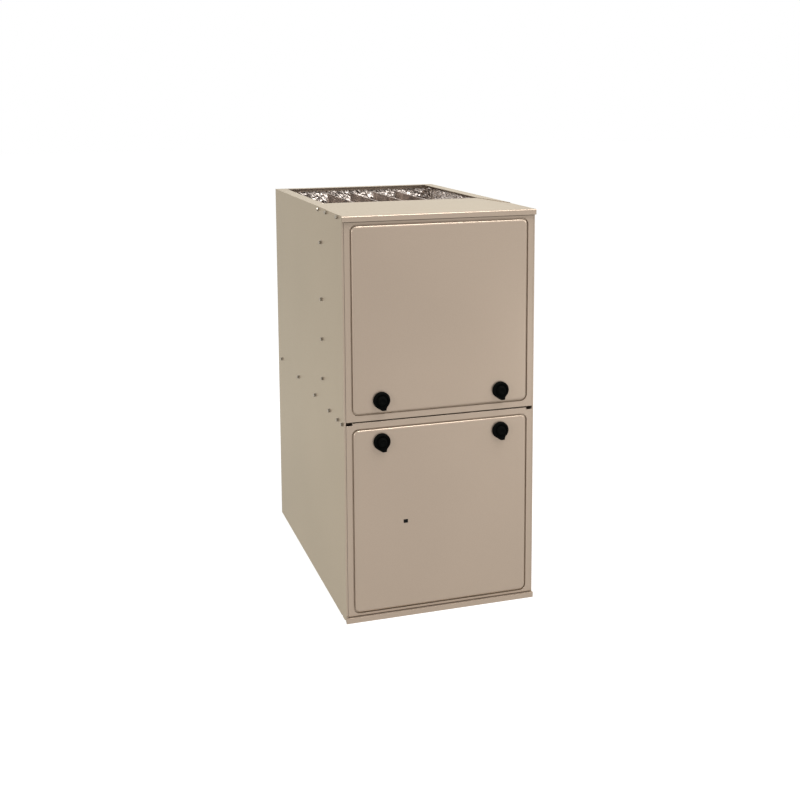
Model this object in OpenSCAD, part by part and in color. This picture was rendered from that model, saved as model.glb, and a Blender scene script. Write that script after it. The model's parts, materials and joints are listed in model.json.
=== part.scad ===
// Upflow condensing forced air gas furnace with two lift-off doors.
// Millimetres. +Z is up, the doors face -Y, and the origin lies under the middle of the whole
// object, on the surface that it stands on. "Depth" is measured back from the casing's front.

/* [Casing] */
// Width of the casing
case_w = 444.5; // [440:0.5:560]
// Depth of the casing
case_d = 711.2; // [700:0.1:780]
// Height of the casing
case_h = 908; // [880:1:1016]
// Thickness of the sheet steel
sheet = 1; // [0.8:0.1:1.4]
// Width of the duct flange along each side of the supply opening
duct_flange = 28; // [20:1:32]
// Depth of the top plate that covers the casing in front of the supply opening
plate_d = 285; // [260:1:300]
// Depth at which the duct flange starts to widen from nothing
flange_start = 140; // [110:1:180]
// Width of the flange round the return opening at the bottom
base_flange = 25; // [20:1:30]
// How far the top plate's lip and the sill stand forward of the casing
lip_proud = 6; // [4:0.5:9]
// Height of the top plate's lip
lip_h = 12.5; // [8:0.5:14]
// Height of the sill under the lower door
sill_h = 12.5; // [12:0.5:20]
// Width of the casing's front edges, with the hem that is folded back inside them
hem = 3.5; // [3:0.5:5]
// Height of the casing screws' hex heads
screw_head_h = 4; // [2:0.5:5]

/* [Doors] */
// Gap between the two doors
door_gap = 3; // [2:0.5:5]
// Depth of a door pan behind the casing's front
pan_d = 21; // [18:1:26]
// Height of the raised field above the door's border
field_rise = 3; // [2:0.5:5]
// Width of the border beside the raised field
border_side = 15.5; // [12:0.5:20]
// Width of the border at the split between the doors
border_split = 18; // [12:0.5:24]
// Width of the border at the sill and at the top
border_end = 8; // [6:0.5:12]
// Corner radius of the raised field
field_r = 12; // [8:0.5:16]
// Distance from the casing's side to a knob's centre
knob_inset = 83; // [70:1:100]
// Distance from the split to a knob's centre
knob_from_split = 46.5; // [44:0.5:54]
// Width of the groove round the raised field
groove_w = 3; // [2:0.5:4]
// Depth of the groove round the raised field
groove_deep = 4; // [1.5:0.5:4.5]
// Radius of the raised field's rounded edge
shoulder_r = 3.5; // [2:0.5:3.5]
// Diameter of a knob
knob_dia = 38; // [34:0.5:46]
// How far a knob's finger spur reaches past its rim
spur_l = 4.5; // [3:0.5:6]
// How far a knob stands out from the raised field
knob_h = 13; // [10:0.5:18]
// Place of the sight glass, left of the middle
sight_x = 85; // [70:1:100]
// Height of the sight glass
sight_z = 221; // [195:1:230]

/* [Heat exchanger] */
// Number of heat exchanger cells and burners
cells = 4; // [3:1:4]
// Distance from one cell to the next
cell_pitch = 63.5; // [58:0.5:70]
// Widest thickness of a cell
cell_t = 38; // [30:1:44]
// Depth of the burner compartment
vestibule_d = 200; // [192:1:210]
// Height of the burners, down from the top of the casing
burner_drop = 59; // [54:1:70]
// Thickness of the foil faced insulation
liner_t = 10; // [6:1:14]

/* [Blower] */
// Outer diameter of the blower wheel
wheel_dia = 262; // [240:1:270]
// Width of the blower wheel
wheel_w = 200; // [170:1:204]
// Number of blades on the blower wheel
blades = 40; // [30:1:48]
// Width of the blower housing
housing_w = 236; // [230:1:250]
// Depth of the blower's axis behind the casing's front
blower_d = 400; // [390:1:430]
// Height of the blower's axis
blower_z = 215; // [206:1:222]
// Diameter of the blower motor
motor_dia = 136; // [110:1:140]
// Diameter of the motor shaft
shaft_dia = 12.7; // [10:0.1:16]

/* [Inducer and vent] */
// Place of the inducer's axis, left of the middle
inducer_x = 50; // [40:1:60]
// Height of the inducer's axis above the blower deck
inducer_rise = 124; // [118:1:134]
// Radius of the inducer wheel
inducer_r = 58; // [48:1:62]
// Outer diameter of the plastic vent pipe
vent_dia = 60.3; // [50:0.1:62]
// Height of the air inlet above the inducer's axis
air_rise = 150; // [140:1:160]

/* [Hidden] */

$fn = 48;
SMALL = 24;          // facets of a small round
EPS = 0.01;          // overlap of fused solids and of cuts
SEAT = 0.3;          // rest gap of a loose seat
RUN = 0.05;          // radial clearance of a running fit

paint = [0.70, 0.63, 0.56];
zinc = [0.72, 0.73, 0.74];
foil = [0.82, 0.82, 0.82];
hot_steel = [0.45, 0.40, 0.36];
black = [0.06, 0.06, 0.06];

// casing
half = case_w / 2;
inner = half - sheet;
screw_r = 2;
screw_washer_r = 5;
screw_hex_r = 4;
knob_face = sheet + field_rise + knob_h;
front_y = (knob_face - screw_head_h - case_d) / 2;
plate_top = case_h - sheet;
back_in = case_d - 2 * sheet;
skirt = 14;
rail_w = 18;
stop_d = pan_d + SEAT;
shelf_d = stop_d + sheet;

// doors
split_z = case_h / 2 + 1;
door_x = half - hem - 0.5;
door_fit = 1.5;
door_flange = 10;
lower_z = [sill_h + door_fit, split_z - door_gap / 2];
upper_z = [split_z + door_gap / 2, plate_top - lip_h - door_fit];
knob_x = half - knob_inset;
groove_out = groove_w + sheet + 0.5;
field_in = shoulder_r + 1.5;
seam = 0.05;
stud_r = 5;
field_face = -sheet - field_rise;
spur_w = 9.5;
stud_in = sheet + 4;         // how far the knob's own stud reaches in, where the cam's begins
cam_l = 34;
cam_w = 12;
cam_t = 2;
cam_d = shelf_d + 1;
sight_w = 10;
sight_h = 8;
lock_edge = 26;
corner_notch = [14, 4.5];

// decks and panels
deck_z = split_z + 0.5;
deck_under = deck_z - sheet;
panel_back = vestibule_d + sheet;
panel_flange = 12;
burner_z = case_h - burner_drop;

// heat exchangers
liner_top = case_h - 10;
cell_xs = [for (i = [0 : cells - 1]) (i - (cells - 1) / 2) * cell_pitch];
cell_top = case_h - 10;
coil_wall = 24;              // from the coil's edge to its first tube, and its height over the deck
coil_h = 95;
coil_z = [deck_z + coil_wall, deck_z + coil_wall + coil_h];
coil_x = 1.5 * cell_pitch + 54;
cell_bottom = coil_z[1] + 25;
box_d = 50;
cell_end = back_in - liner_t - 9 - box_d;
pass_half = [34, 26, 20];
pass_z = [burner_z, burner_z - pass_half[0] - pass_half[1] - 36, cell_bottom + pass_half[2] + 22];
port_r = 22;
bend_back = 96;              // from a cell's end to the middle of its rear bend
bend_front = 86;             // from the cell panel to the middle of its front bend
collar_l = 24;
port_l = 60;
foot_l = 24;
box_over = 16;
collector_d = 40;
collector_front = vestibule_d - collector_d;
drain_x = coil_x - 20;
drain_d = vestibule_d - collector_d / 2;
drain_r = 9;

// blower
wheel_r = wheel_dia / 2;
blade_root = wheel_r - 21;
inlet_r = blade_root - 9;
cutoff_r = wheel_r + 14;
scroll_r = wheel_r + 64;
tongue_a = 300;
shaft_r = shaft_dia / 2;
motor_r = motor_dia / 2;
motor_l = 115;
motor_in = 40;
motor_out = motor_in + motor_l;
tongue_p = (cutoff_r + 2) * cos(tongue_a);
outlet = [tongue_p, scroll_r];

// flame probes, and the pressure switch between the igniter and its tap on the collector box
probe_drop = 56;
probe_d = vestibule_d - 12;
igniter_x = cell_xs[0] - 5;
sensor_x = cell_xs[cells - 1] + 5;
tap_x = -inner + 94;
switch_r = 31;
pressure_z = burner_z - probe_drop - switch_r - 43;
tap_top = coil_z[1] + 10;

// inducer, vent and gas
ind_x = -inducer_x;
ind_z = deck_z + inducer_rise;
ind_out_r = inducer_r + 21;
ind_wall = 3;
ind_d = [collector_front - 46, collector_front];
ind_motor_r = 40;
ind_motor_d = [ind_d[0] - 54, ind_d[0]];
ind_shaft_r = 4;
vent_r = vent_dia / 2;
pipe_wall = 3.9;
vent_z = ind_z + ind_out_r - vent_r;
vent_d = (ind_d[0] + ind_d[1]) / 2;
vent_start = ind_x + 95;
grip = 16;
stop_ring = 2;
coupling_l = 2 * grip + stop_ring;
coupling_t = 4;
coupling_r = vent_r + SEAT + coupling_t;
air_d = 105;
air_z = ind_z + air_rise;
manifold_d = 88;
manifold_r = 13;
rack_x = cell_xs[cells - 1] + 24;
valve_x = [rack_x + 6, rack_x + 74];
valve_d = [manifold_d - 30, manifold_d + 34];
gas_hole_r = 22;
gas_bore_r = 9.2;
valve_knob = [(valve_x[0] + valve_x[1]) / 2, burner_z + 8];

// controls
rollout_z = burner_z + 34;
rollout_d = vestibule_d - 28;
panel_d = 75;
panel_x = [-inner + 17, 62];
panel_z = [sight_z - 64, deck_under];
board_x = [panel_x[0] + 14, panel_x[1] - 92];
board_z = [panel_z[0] + 20, sight_z + 116];
board_d = panel_d - 8;
jbox = [55, 50, 72];
jbox_d = 30;
jbox_z = deck_under - 22 - jbox[2];
conduit_r = 11.1;
conduit = [jbox_d + jbox[1] / 2, jbox_z + jbox[2] / 2];
trap = [56, 56, 190];
trap_out_z = deck_under - 172;
trap_out_r = 10.7;
switch_x = 70;
switch_z = deck_under - 8;
plunger_r = 2.5;
leg_r = 4.35;

// screws through the casing's sides, as [depth, height]
plate_screws = [for (d = [40, flange_start, 215]) [d, plate_top - sheet - 5]];
panel_screws = [for (z = [deck_z + 53, deck_z + 146.5, deck_z + 240, burner_z - 22]) [vestibule_d - 6, z]];
deck_screw_d = [16.5, 55, 132, 273, 458];
deck_screws = [for (d = concat(deck_screw_d, [back_in - 44])) [d, deck_under - 5.5]];
side_screws = concat(plate_screws, panel_screws, deck_screws);
back_screws = [for (k = [0 : 3]) 60 + k * (case_h - 120) / 3];

// ---------------------------------------------------------------- shapes that repeat

// A box between limits in x, in depth behind the casing's front, and in height
module block(x, d, z) {
    translate([x[0], front_y + d[0], z[0]])
        cube([x[1] - x[0], d[1] - d[0], z[1] - z[0]]);
}

// Cylinders along each axis, between two limits
module rod_x(x, d, z, r, fn = $fn) {
    translate([x[0], front_y + d, z]) rotate([0, 90, 0])
        cylinder(h = x[1] - x[0], r = r, $fn = fn);
}

module rod_y(x, d, z, r, fn = $fn) {
    translate([x, front_y + d[0], z]) rotate([-90, 0, 0])
        cylinder(h = d[1] - d[0], r = r, $fn = fn);
}

module rod_z(x, d, z, r, fn = $fn) {
    translate([x, front_y + d, z[0]]) cylinder(h = z[1] - z[0], r = r, $fn = fn);
}

// Points on an arc, as [x, y]
function arc(centre, r, from, to, steps) =
    [for (i = [0 : steps]) centre + r * [cos(from + (to - from) * i / steps),
        sin(from + (to - from) * i / steps)]];

// A rectangle with round corners, about its middle
module round_rect(size, r) {
    square([size[0] - 2 * r, size[1]], center = true);
    square([size[0], size[1] - 2 * r], center = true);
    for (sx = [-1, 1], sy = [-1, 1])
        translate([sx * (size[0] / 2 - r), sy * (size[1] / 2 - r)]) circle(r);
}

// Sweeps a profile round a rectangle with round corners: the profile's x points outward
module frame_run(size, r) {
    for (k = [0 : 3]) {
        across = size[k % 2];
        along = size[(k + 1) % 2] - 2 * r;
        rotate(90 * k) {
            translate([across / 2, along / 2, 0]) rotate([90, 0, 0])
                linear_extrude(along) children();
            translate([across / 2 - r, along / 2, 0])
                rotate_extrude(angle = 90) translate([r, 0]) children();
        }
    }
}

// A strip of sheet that lies flat on the inner face of one casing side
module side_strip(side, d, z) {
    block([side > 0 ? inner - sheet : -inner, side > 0 ? inner : sheet - inner], d, z);
}

// The shanks of the screws in both sides, or the holes for them
module side_shanks(r) {
    reach = 2 * sheet + 1;
    for (s = side_screws, side = [-1, 1])
        rod_x([side * half - reach, side * half + reach], s[0], s[1], r, SMALL);
}

module back_shanks(r) {
    for (z = back_screws, side = [-1, 1])
        rod_y(side * (half - 10), [case_d - 3, case_d + 1], z, r, SMALL);
}

// ---------------------------------------------------------------- casing

// Left side: a sheet whose top folds in as a tapered duct flange
module side_panel() {
    difference() {
        union() {
            block([-half, -inner], [0, case_d], [0, case_h]);
            translate([0, front_y, plate_top]) linear_extrude(sheet)
                polygon([[-half, flange_start], [-half + duct_flange, plate_d],
                    [-half + duct_flange, case_d], [-half, case_d]]);
        }
        side_shanks(screw_r + 0.2);
        // notches that the base's tabs leave in the lower edge
        for (d = [6, 34]) block([-half - 1, -inner + EPS], [d, d + 9], [-1, 3]);
        // the side's top edge steps down to the plate in front of the duct flange
        block([-half - 1, -inner + EPS], [-1, flange_start], [plate_top, case_h + 1]);
    }
}

module casing_left_side() {
    color(paint) side_panel();
}

// Strips welded inside the left side: door rail, base flange and the corner strip behind the back
module side_rails() {
    difference() {
        union() {
            block([-inner, -half + hem], [0, shelf_d], [sill_h, upper_z[1]]);
            block([-inner, -half + rail_w], [stop_d, shelf_d], [sill_h, upper_z[1]]);
            block([-inner, -half + base_flange], [shelf_d + 3, back_in], [0, sheet]);
            block([-inner, -half + 20], [case_d - sheet, case_d], [0, plate_top]);
        }
        side_shanks(screw_r + 0.2);
        back_shanks(screw_r + 0.2);
        for (d = [40, case_d - 40]) rod_z(-half + 12, d, [-1, sheet + 1], leg_r, SMALL);
    }
}

module casing_rails() {
    color(paint) for (side = [0, 1]) mirror([side, 0, 0]) side_rails();
}

module casing_right_side() {
    color(paint) difference() {
        mirror([1, 0, 0]) side_panel();
        rod_x([half - 5, half + 5], vent_d, vent_z, coupling_r + SEAT);
        rod_x([half - 5, half + 5], air_d, air_z, coupling_r + SEAT);
        rod_x([half - 5, half + 5], manifold_d, burner_z, gas_hole_r);
        rod_x([half - 5, half + 5], conduit[0], conduit[1], conduit_r);
        rod_x([half - 5, half + 5], drain_d, trap_out_z, trap_out_r + 1.5);
    }
}

module casing_back() {
    color(paint) difference() {
        union() {
            block([-inner, inner], [back_in, back_in + sheet], [0, plate_top]);
            block([-half + duct_flange + SEAT, half - duct_flange - SEAT],
                [case_d - sheet - 20, back_in + sheet], [plate_top, case_h]);
            block([-half + base_flange + SEAT, half - base_flange - SEAT],
                [case_d - sheet - 20, back_in + sheet], [0, sheet]);
        }
        back_shanks(screw_r + 0.2);
    }
}

// The rolled lip's section, as [depth, height] from the plate's top edge
module lip_section() {
    roll = 3;
    polygon(concat([[0, 0]], arc([-lip_proud + roll, -roll], roll, 90, 180, 5),
        [[-lip_proud, -lip_h], [-SEAT, -lip_h], [-SEAT, -lip_h + sheet],
        [-lip_proud + sheet, -lip_h + sheet], [-lip_proud + sheet, -roll],
        [-lip_proud + roll, -sheet], [0, -sheet]]));
}

module top_plate() {
    color(paint) difference() {
        union() {
            translate([-half - 1, front_y, plate_top]) rotate([90, 0, 90])
                linear_extrude(case_w + 2) lip_section();
            block([-inner, inner], [-EPS, plate_d], [plate_top - sheet, plate_top]);
            block([-inner + rail_w + SEAT, inner - rail_w - SEAT], [stop_d, shelf_d],
                [upper_z[1] - 16, plate_top - EPS]);
            block([-inner + liner_t + 4, inner - liner_t - 4], [plate_d - sheet, plate_d],
                [cell_top + 2, plate_top - EPS]);
            // skirts that the side screws go into, in front of the cell panel and behind it
            for (side = [-1, 1]) {
                side_strip(side, [shelf_d + 2, vestibule_d - panel_flange - 1],
                    [plate_top - skirt, plate_top - EPS]);
                side_strip(side, [panel_back + 1, plate_d - 5], [liner_top, plate_top - EPS]);
            }
        }
        side_shanks(screw_r + 0.2);
    }
}

module base_rail() {
    sill_x = half + 1;
    color(paint) union() {
        block([-sill_x, sill_x], [-lip_proud, -lip_proud + sheet], [0, sill_h]);
        block([-sill_x, sill_x], [-lip_proud, -SEAT], [sill_h - sheet, sill_h]);
        block([-sill_x, sill_x], [-lip_proud, -SEAT], [0, sheet]);
        block([-door_x, door_x], [-SEAT - EPS, shelf_d], [sill_h - sheet, sill_h]);
        block([-door_x, door_x], [-SEAT - EPS, shelf_d], [0, sheet]);
        block([-inner + rail_w + SEAT, inner - rail_w - SEAT], [stop_d, shelf_d],
            [0, sill_h + 16]);
    }
}

module blower_deck() {
    color(zinc) difference() {
        union() {
            block([-inner, inner], [shelf_d, back_in], [deck_under, deck_z]);
            block([-inner + rail_w + SEAT, inner - rail_w - SEAT], [stop_d, shelf_d],
                [deck_z - lock_edge, deck_z + lock_edge]);
            for (side = [-1, 1])
                side_strip(side, [shelf_d + 2, back_in], [deck_z - skirt, deck_under + EPS]);
        }
        side_shanks(screw_r + 0.2);
        block([-housing_w / 2 + 2, housing_w / 2 - 2], [blower_d + outlet[0] + 2, blower_d + outlet[1] - 2],
            [deck_under - 1, deck_z + 1]);
        rod_z(drain_x, drain_d, [deck_under - 1, deck_z + 1], drain_r + 0.5, SMALL);
        rod_y(switch_x, [stop_d - 1, shelf_d + 1], switch_z, plunger_r + 0.5, SMALL);
    }
}

module cell_panel() {
    color(zinc) difference() {
        union() {
            block([-inner, inner], [vestibule_d, panel_back], [deck_z, plate_top - sheet]);
            for (side = [-1, 1])
                side_strip(side, [vestibule_d - panel_flange, vestibule_d + EPS],
                    [deck_z, plate_top - sheet]);
        }
        side_shanks(screw_r + 0.2);
        for (x = cell_xs) rod_y(x, [vestibule_d - 1, panel_back + 1], burner_z, port_r);
        block([-coil_x + 8, coil_x - 8], [vestibule_d - 1, panel_back + 1],
            [coil_z[0] + 8, coil_z[1] - 8]);
    }
}

module side_liner() {
    block([-inner, -inner + liner_t], [panel_back, back_in - liner_t], [deck_z, liner_top]);
}

module left_insulation() {
    color(foil) difference() {
        side_liner();
        side_shanks(screw_r + 0.5);
    }
}

module right_insulation() {
    color(foil) mirror([1, 0, 0]) difference() {
        side_liner();
        side_shanks(screw_r + 0.5);
    }
}

module back_insulation() {
    color(foil) difference() {
        block([-inner, inner], [back_in - liner_t, back_in], [deck_z, liner_top]);
        back_shanks(screw_r + 0.5);
    }
}

// ---------------------------------------------------------------- heat exchangers

// A pass's section: two arcs that meet in the seam, tall along y and thin along x
module lens(tall, thin) {
    r = (tall * tall + thin * thin) / (2 * thin);
    intersection() {
        translate([thin - r, 0]) circle(r, $fn = 96);
        translate([r - thin, 0]) circle(r, $fn = 96);
    }
}

// One straight pass of a cell, along the depth
module cell_pass(d, z, tall, thin) {
    translate([0, front_y + d[1], z]) rotate([90, 0, 0]) linear_extrude(d[1] - d[0]) lens(tall, thin);
}

// The half round bend that joins two passes, on the back or the front of the cell
module cell_bend(d, z, r, tall, thin, side) {
    translate([0, front_y + d, z]) rotate([0, 90, 0]) rotate(side > 0 ? 0 : 180)
        rotate_extrude(angle = 180) translate([r, 0]) rotate(90) lens(tall, thin);
}

// A clamshell cell: two stamped halves round a serpentine of three passes that get smaller
module heat_cell(i) {
    x = cell_xs[i];
    thin = [cell_t / 2, cell_t / 2 - 5, cell_t / 2 - 8];
    bend_d = [cell_end - bend_back, panel_back + bend_front];
    bend_z = [(pass_z[0] + pass_z[1]) / 2, (pass_z[1] + pass_z[2]) / 2];
    bend_r = [(pass_z[0] - pass_z[1]) / 2, (pass_z[1] - pass_z[2]) / 2];
    color(hot_steel) translate([x, 0, 0]) difference() {
        union() {
            block([-1, 1], [panel_back + 2, cell_end - 2], [cell_bottom, cell_top]);
            for (z = [cell_bottom, cell_top - 5])
                block([-2, 2], [panel_back + 2, cell_end - 2], [z, z + 5]);
            cell_pass([panel_back + 10, bend_d[0]], pass_z[0], pass_half[0], thin[0]);
            cell_bend(bend_d[0], bend_z[0], bend_r[0], pass_half[1], thin[1], 1);
            cell_pass([bend_d[1], bend_d[0]], pass_z[1], pass_half[1], thin[1]);
            cell_bend(bend_d[1], bend_z[1], bend_r[1], pass_half[2], thin[2], -1);
            cell_pass([bend_d[1], cell_end], pass_z[2], pass_half[2], thin[2]);
            rod_y(0, [panel_back, panel_back + collar_l], pass_z[0], port_r + 3);
        }
        rod_y(0, [panel_back - 1, panel_back + port_l], pass_z[0], cell_t / 2 - 3);
    }
}

module coupling_box() {
    x = coil_x - 6;
    color(hot_steel) union() {
        block([-x, x], [cell_end, cell_end + box_d - 6], [coil_z[0], pass_z[2] + pass_half[2] + box_over]);
        block([-x + 14, x - 14], [cell_end + box_d - 6 - EPS, cell_end + box_d],
            [coil_z[0] + 14, pass_z[2] + pass_half[2] + 2]);
        // feet that stand on the deck
        for (s = [-1, 1])
            block([s * (x - foot_l) - foot_l / 2, s * (x - foot_l) + foot_l / 2],
                [cell_end + box_d / 5, cell_end + box_d / 5 + foot_l], [deck_z, coil_z[0] + EPS]);
    }
}

// The condensing coil: plate fins on rows of tubes that run front to back between end plates
module secondary_coil() {
    fin_pitch = 22;
    d0 = panel_back;
    fins = floor((cell_end - d0 - 20) / fin_pitch);
    tube_r = 7;
    columns = 7;
    tube_step = 2 * (coil_x - coil_wall) / (columns - 1);
    color(zinc) union() {
        for (d = [d0, cell_end - 3])
            block([-coil_x, coil_x], [d, d + 3], coil_z);
        for (s = [-1, 1])
            block([s * coil_x - 1, s * coil_x + 1], [d0, cell_end], coil_z);
        for (k = [1 : fins])
            block([-coil_x, coil_x], [d0 + k * fin_pitch, d0 + k * fin_pitch + 1.2],
                [coil_z[0] + 8, coil_z[1] - 8]);
        for (c = [0 : columns - 1], row = [0, 1])
            rod_y(-coil_x + coil_wall + c * tube_step, [d0 + 1, cell_end - 1],
                coil_z[0] + 30 + row * 36, tube_r, SMALL);
    }
}

module collector_box() {
    color(black) difference() {
        union() {
            block([-coil_x, coil_x], [collector_front + 6, vestibule_d - 4], coil_z);
            block([-coil_x + 10, coil_x - 10], [collector_front, vestibule_d - 4],
                [coil_z[0] + 10, coil_z[1] - 10]);
            block([-coil_x - 8, coil_x + 8], [vestibule_d - 4 - EPS, vestibule_d],
                [coil_z[0] - 4, coil_z[1] + 4]);
            rod_y(ind_x, [collector_front, vestibule_d - 4], ind_z - 40, 30);
            for (x = [tap_x, coil_x - 50])
                rod_z(x, drain_d, [coil_z[1] - 1, tap_top], 5, SMALL);
            rod_z(drain_x, drain_d, [coil_z[0] - 12, coil_z[0] + EPS], drain_r - 2 - RUN, SMALL);
        }
        rod_y(ind_x, [collector_front - 1, collector_front + 24], ind_z - 40, 24);
    }
}

module drain_coupling() {
    color(black) difference() {
        rod_z(drain_x, drain_d, [deck_under - 6, coil_z[0] - SEAT], drain_r, SMALL);
        rod_z(drain_x, drain_d, [deck_under - 7, coil_z[0]], drain_r - 2, SMALL);
    }
}

// The trap hangs from the deck and drains through the casing's right side
module condensate_trap() {
    x0 = drain_x - trap[0] / 2;
    d0 = drain_d - trap[1] / 2;
    color([0.85, 0.85, 0.82]) difference() {
        union() {
            for (s = [-1, 1]) {
                edge = s > 0 ? x0 + trap[0] : x0 - 14;
                block([edge - EPS, edge + 14 + EPS], [d0, d0 + trap[1]], [deck_under - 4, deck_under]);
            }
            block([x0, x0 + trap[0]], [d0, d0 + trap[1]], [deck_under - trap[2], deck_under]);
            rod_x([x0 + trap[0] - EPS, half], drain_d, trap_out_z, trap_out_r);
            for (k = [1 : 3])
                block([x0 - 1.5, x0 + trap[0] + 1.5], [d0 - 1.5, d0 + trap[1] + 1.5],
                    [deck_under - k * 44, deck_under - k * 44 + 4]);
        }
        rod_z(drain_x, drain_d, [deck_under - 40, deck_under + 1], drain_r + SEAT, SMALL);
        rod_x([x0 + trap[0] / 2, half + 1], drain_d, trap_out_z, trap_out_r - 2.4);
    }
}

// ---------------------------------------------------------------- inducer and vent

module inducer_housing() {
    cover_r = ind_out_r + ind_wall;
    color(black) difference() {
        union() {
            rod_y(ind_x, [ind_d[0], ind_d[1]], ind_z, cover_r);
            rod_y(ind_x, [ind_d[1] - 12, ind_d[1]], ind_z - 40, 40);
            // outlet to the right, tangent to the top of the housing
            rod_x([ind_x, vent_start], vent_d, vent_z, (ind_d[1] - ind_d[0]) / 2 - 0.5);
            rod_x([vent_start - 24, vent_start], vent_d, vent_z, vent_r + ind_wall + SEAT);
            for (a = [30, 150, 210, 330])
                rod_y(ind_x + (cover_r + 4) * cos(a), [ind_d[0], ind_d[0] + 14],
                    ind_z + (cover_r + 4) * sin(a), 7, SMALL);
        }
        rod_y(ind_x, [ind_d[0] + ind_wall, ind_d[1] - ind_wall], ind_z, ind_out_r);
        rod_x([ind_x, vent_start + 1], vent_d, vent_z, vent_r - 10);
        rod_x([vent_start - 20, vent_start + 1], vent_d, vent_z, vent_r + SEAT);
        rod_y(ind_x, [ind_d[0] - 1, ind_d[0] + 10], ind_z, ind_shaft_r + RUN, SMALL);
        rod_y(ind_x, [ind_d[1] - 10, ind_d[1] + 1], ind_z - 40, 24);
    }
}

module inducer_motor() {
    color(zinc) difference() {
        union() {
            rod_y(ind_x, [ind_motor_d[0] + 8, ind_motor_d[1] - 8], ind_z, ind_motor_r);
            rod_y(ind_x, ind_motor_d, ind_z, ind_motor_r - 8);
            for (a = [90, 210, 330])
                rod_y(ind_x + (ind_motor_r + 2) * cos(a), [ind_motor_d[0] + 10, ind_motor_d[1]],
                    ind_z + (ind_motor_r + 2) * sin(a), 4, SMALL);
        }
        rod_y(ind_x, [ind_motor_d[1] - 30, ind_motor_d[1] + 1], ind_z, ind_shaft_r + RUN, SMALL);
    }
}

// Radial fan wheel with curved blades on a back plate, and its shaft
module inducer_wheel() {
    wheel_d = [ind_d[0] + ind_wall + 3, ind_d[0] + ind_wall + 30];
    color(zinc) union() {
        rod_y(ind_x, [wheel_d[0], wheel_d[0] + 2], ind_z, inducer_r);
        rod_y(ind_x, [wheel_d[0], wheel_d[1] - 4], ind_z, 10, SMALL);
        rod_y(ind_x, [ind_motor_d[1] - 28, wheel_d[0] + EPS], ind_z, ind_shaft_r, SMALL);
        translate([ind_x, front_y + wheel_d[1], ind_z]) rotate([90, 0, 0])
            linear_extrude(wheel_d[1] - wheel_d[0] - 1)
                for (k = [0 : 9]) rotate(36 * k) fan_blade(8, inducer_r - 1, 34, 1.6);
    }
}

// A fan blade's section: part of a ring through both radii, bulging sideways
module fan_blade(root, tip, bend_r, thick) {
    chord = tip - root;
    sag = sqrt(bend_r * bend_r - chord * chord / 4);
    intersection() {
        translate([(root + tip) / 2, -sag]) difference() {
            circle(bend_r);
            circle(bend_r - thick);
        }
        translate([root, 0]) square([chord, bend_r]);
    }
}

module vent_pipe() {
    color([0.92, 0.92, 0.90]) difference() {
        rod_x([vent_start - 19, half - grip - stop_ring], vent_d, vent_z, vent_r);
        rod_x([vent_start - 20, half], vent_d, vent_z, vent_r - pipe_wall);
    }
}

// Rubber couplings in the casing's right side, with a stop ring between the grips for two pipes
module pipe_couplings() {
    color(black) for (place = [[vent_d, vent_z], [air_d, air_z]]) difference() {
        union() {
            rod_x([half - coupling_l, half], place[0], place[1], coupling_r);
            rod_x([inner - 4, inner], place[0], place[1], coupling_r + 6);
        }
        rod_x([half - coupling_l - 1, half - grip - stop_ring], place[0], place[1], vent_r + SEAT);
        rod_x([half - coupling_l, half], place[0], place[1], vent_r - pipe_wall);
        rod_x([half - grip, half + 1], place[0], place[1], vent_r + RUN);
    }
}

// ---------------------------------------------------------------- burners and gas

// An in-shot burner: bell mouth, throat and flared head in one revolved wall
module burner() {
    l = vestibule_d - 16 - (manifold_d + 22);
    outer = concat([[17, 0]], arc([24, 14], 14, 215, 180, 4), [[10, 30], [15, 52], [17, l]]);
    rotate_extrude() polygon(concat(outer, [for (i = [len(outer) - 1 : -1 : 0]) outer[i] - [1.2, 0]]));
}

module burner_rack() {
    front = manifold_d + 22;
    x1 = rack_x;
    color(zinc) union() {
        for (x = cell_xs) translate([x, front_y + front, burner_z]) rotate([-90, 0, 0]) burner();
        // plate that the burner heads stand in, and its feet on the cell panel
        difference() {
            block([-x1, x1], [vestibule_d - 28, vestibule_d - 26], [burner_z - 24, burner_z + 24]);
            for (x = cell_xs) rod_y(x, [vestibule_d - 29, vestibule_d - 25], burner_z, 15);
        }
        difference() {
            for (z = [burner_z - 24, burner_z + 22])
                block([-x1, x1], [vestibule_d - 27, vestibule_d], [z, z + 2]);
            for (x = [igniter_x, sensor_x])
                rod_z(x, probe_d, [burner_z - 25, burner_z - 21], 4, SMALL);
        }
        // arms that carry the manifold
        for (s = [-1, 1])
            block([s * (x1 - 1) - 1, s * (x1 - 1) + 1], [manifold_d + manifold_r - 4, vestibule_d - 26],
                [burner_z - 20, burner_z + 20]);
    }
}

module gas_manifold() {
    x1 = rack_x;
    color(black) union() {
        difference() {
            rod_x([-x1 - 4, valve_x[0]], manifold_d, burner_z, manifold_r);
            for (s = [-1, 1])
                block([s * (x1 - 1) - 1 - SEAT, s * (x1 - 1) + 1 + SEAT],
                    [manifold_d + manifold_r - 4 - SEAT, manifold_d + 30],
                    [burner_z - 21, burner_z + 21]);
        }
        for (x = cell_xs) {
            rod_y(x, [manifold_d + manifold_r - 3, manifold_d + manifold_r + 3], burner_z, 6, 6);
            rod_y(x, [manifold_d + manifold_r, manifold_d + 21], burner_z, 3.5, SMALL);
        }
    }
}

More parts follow.
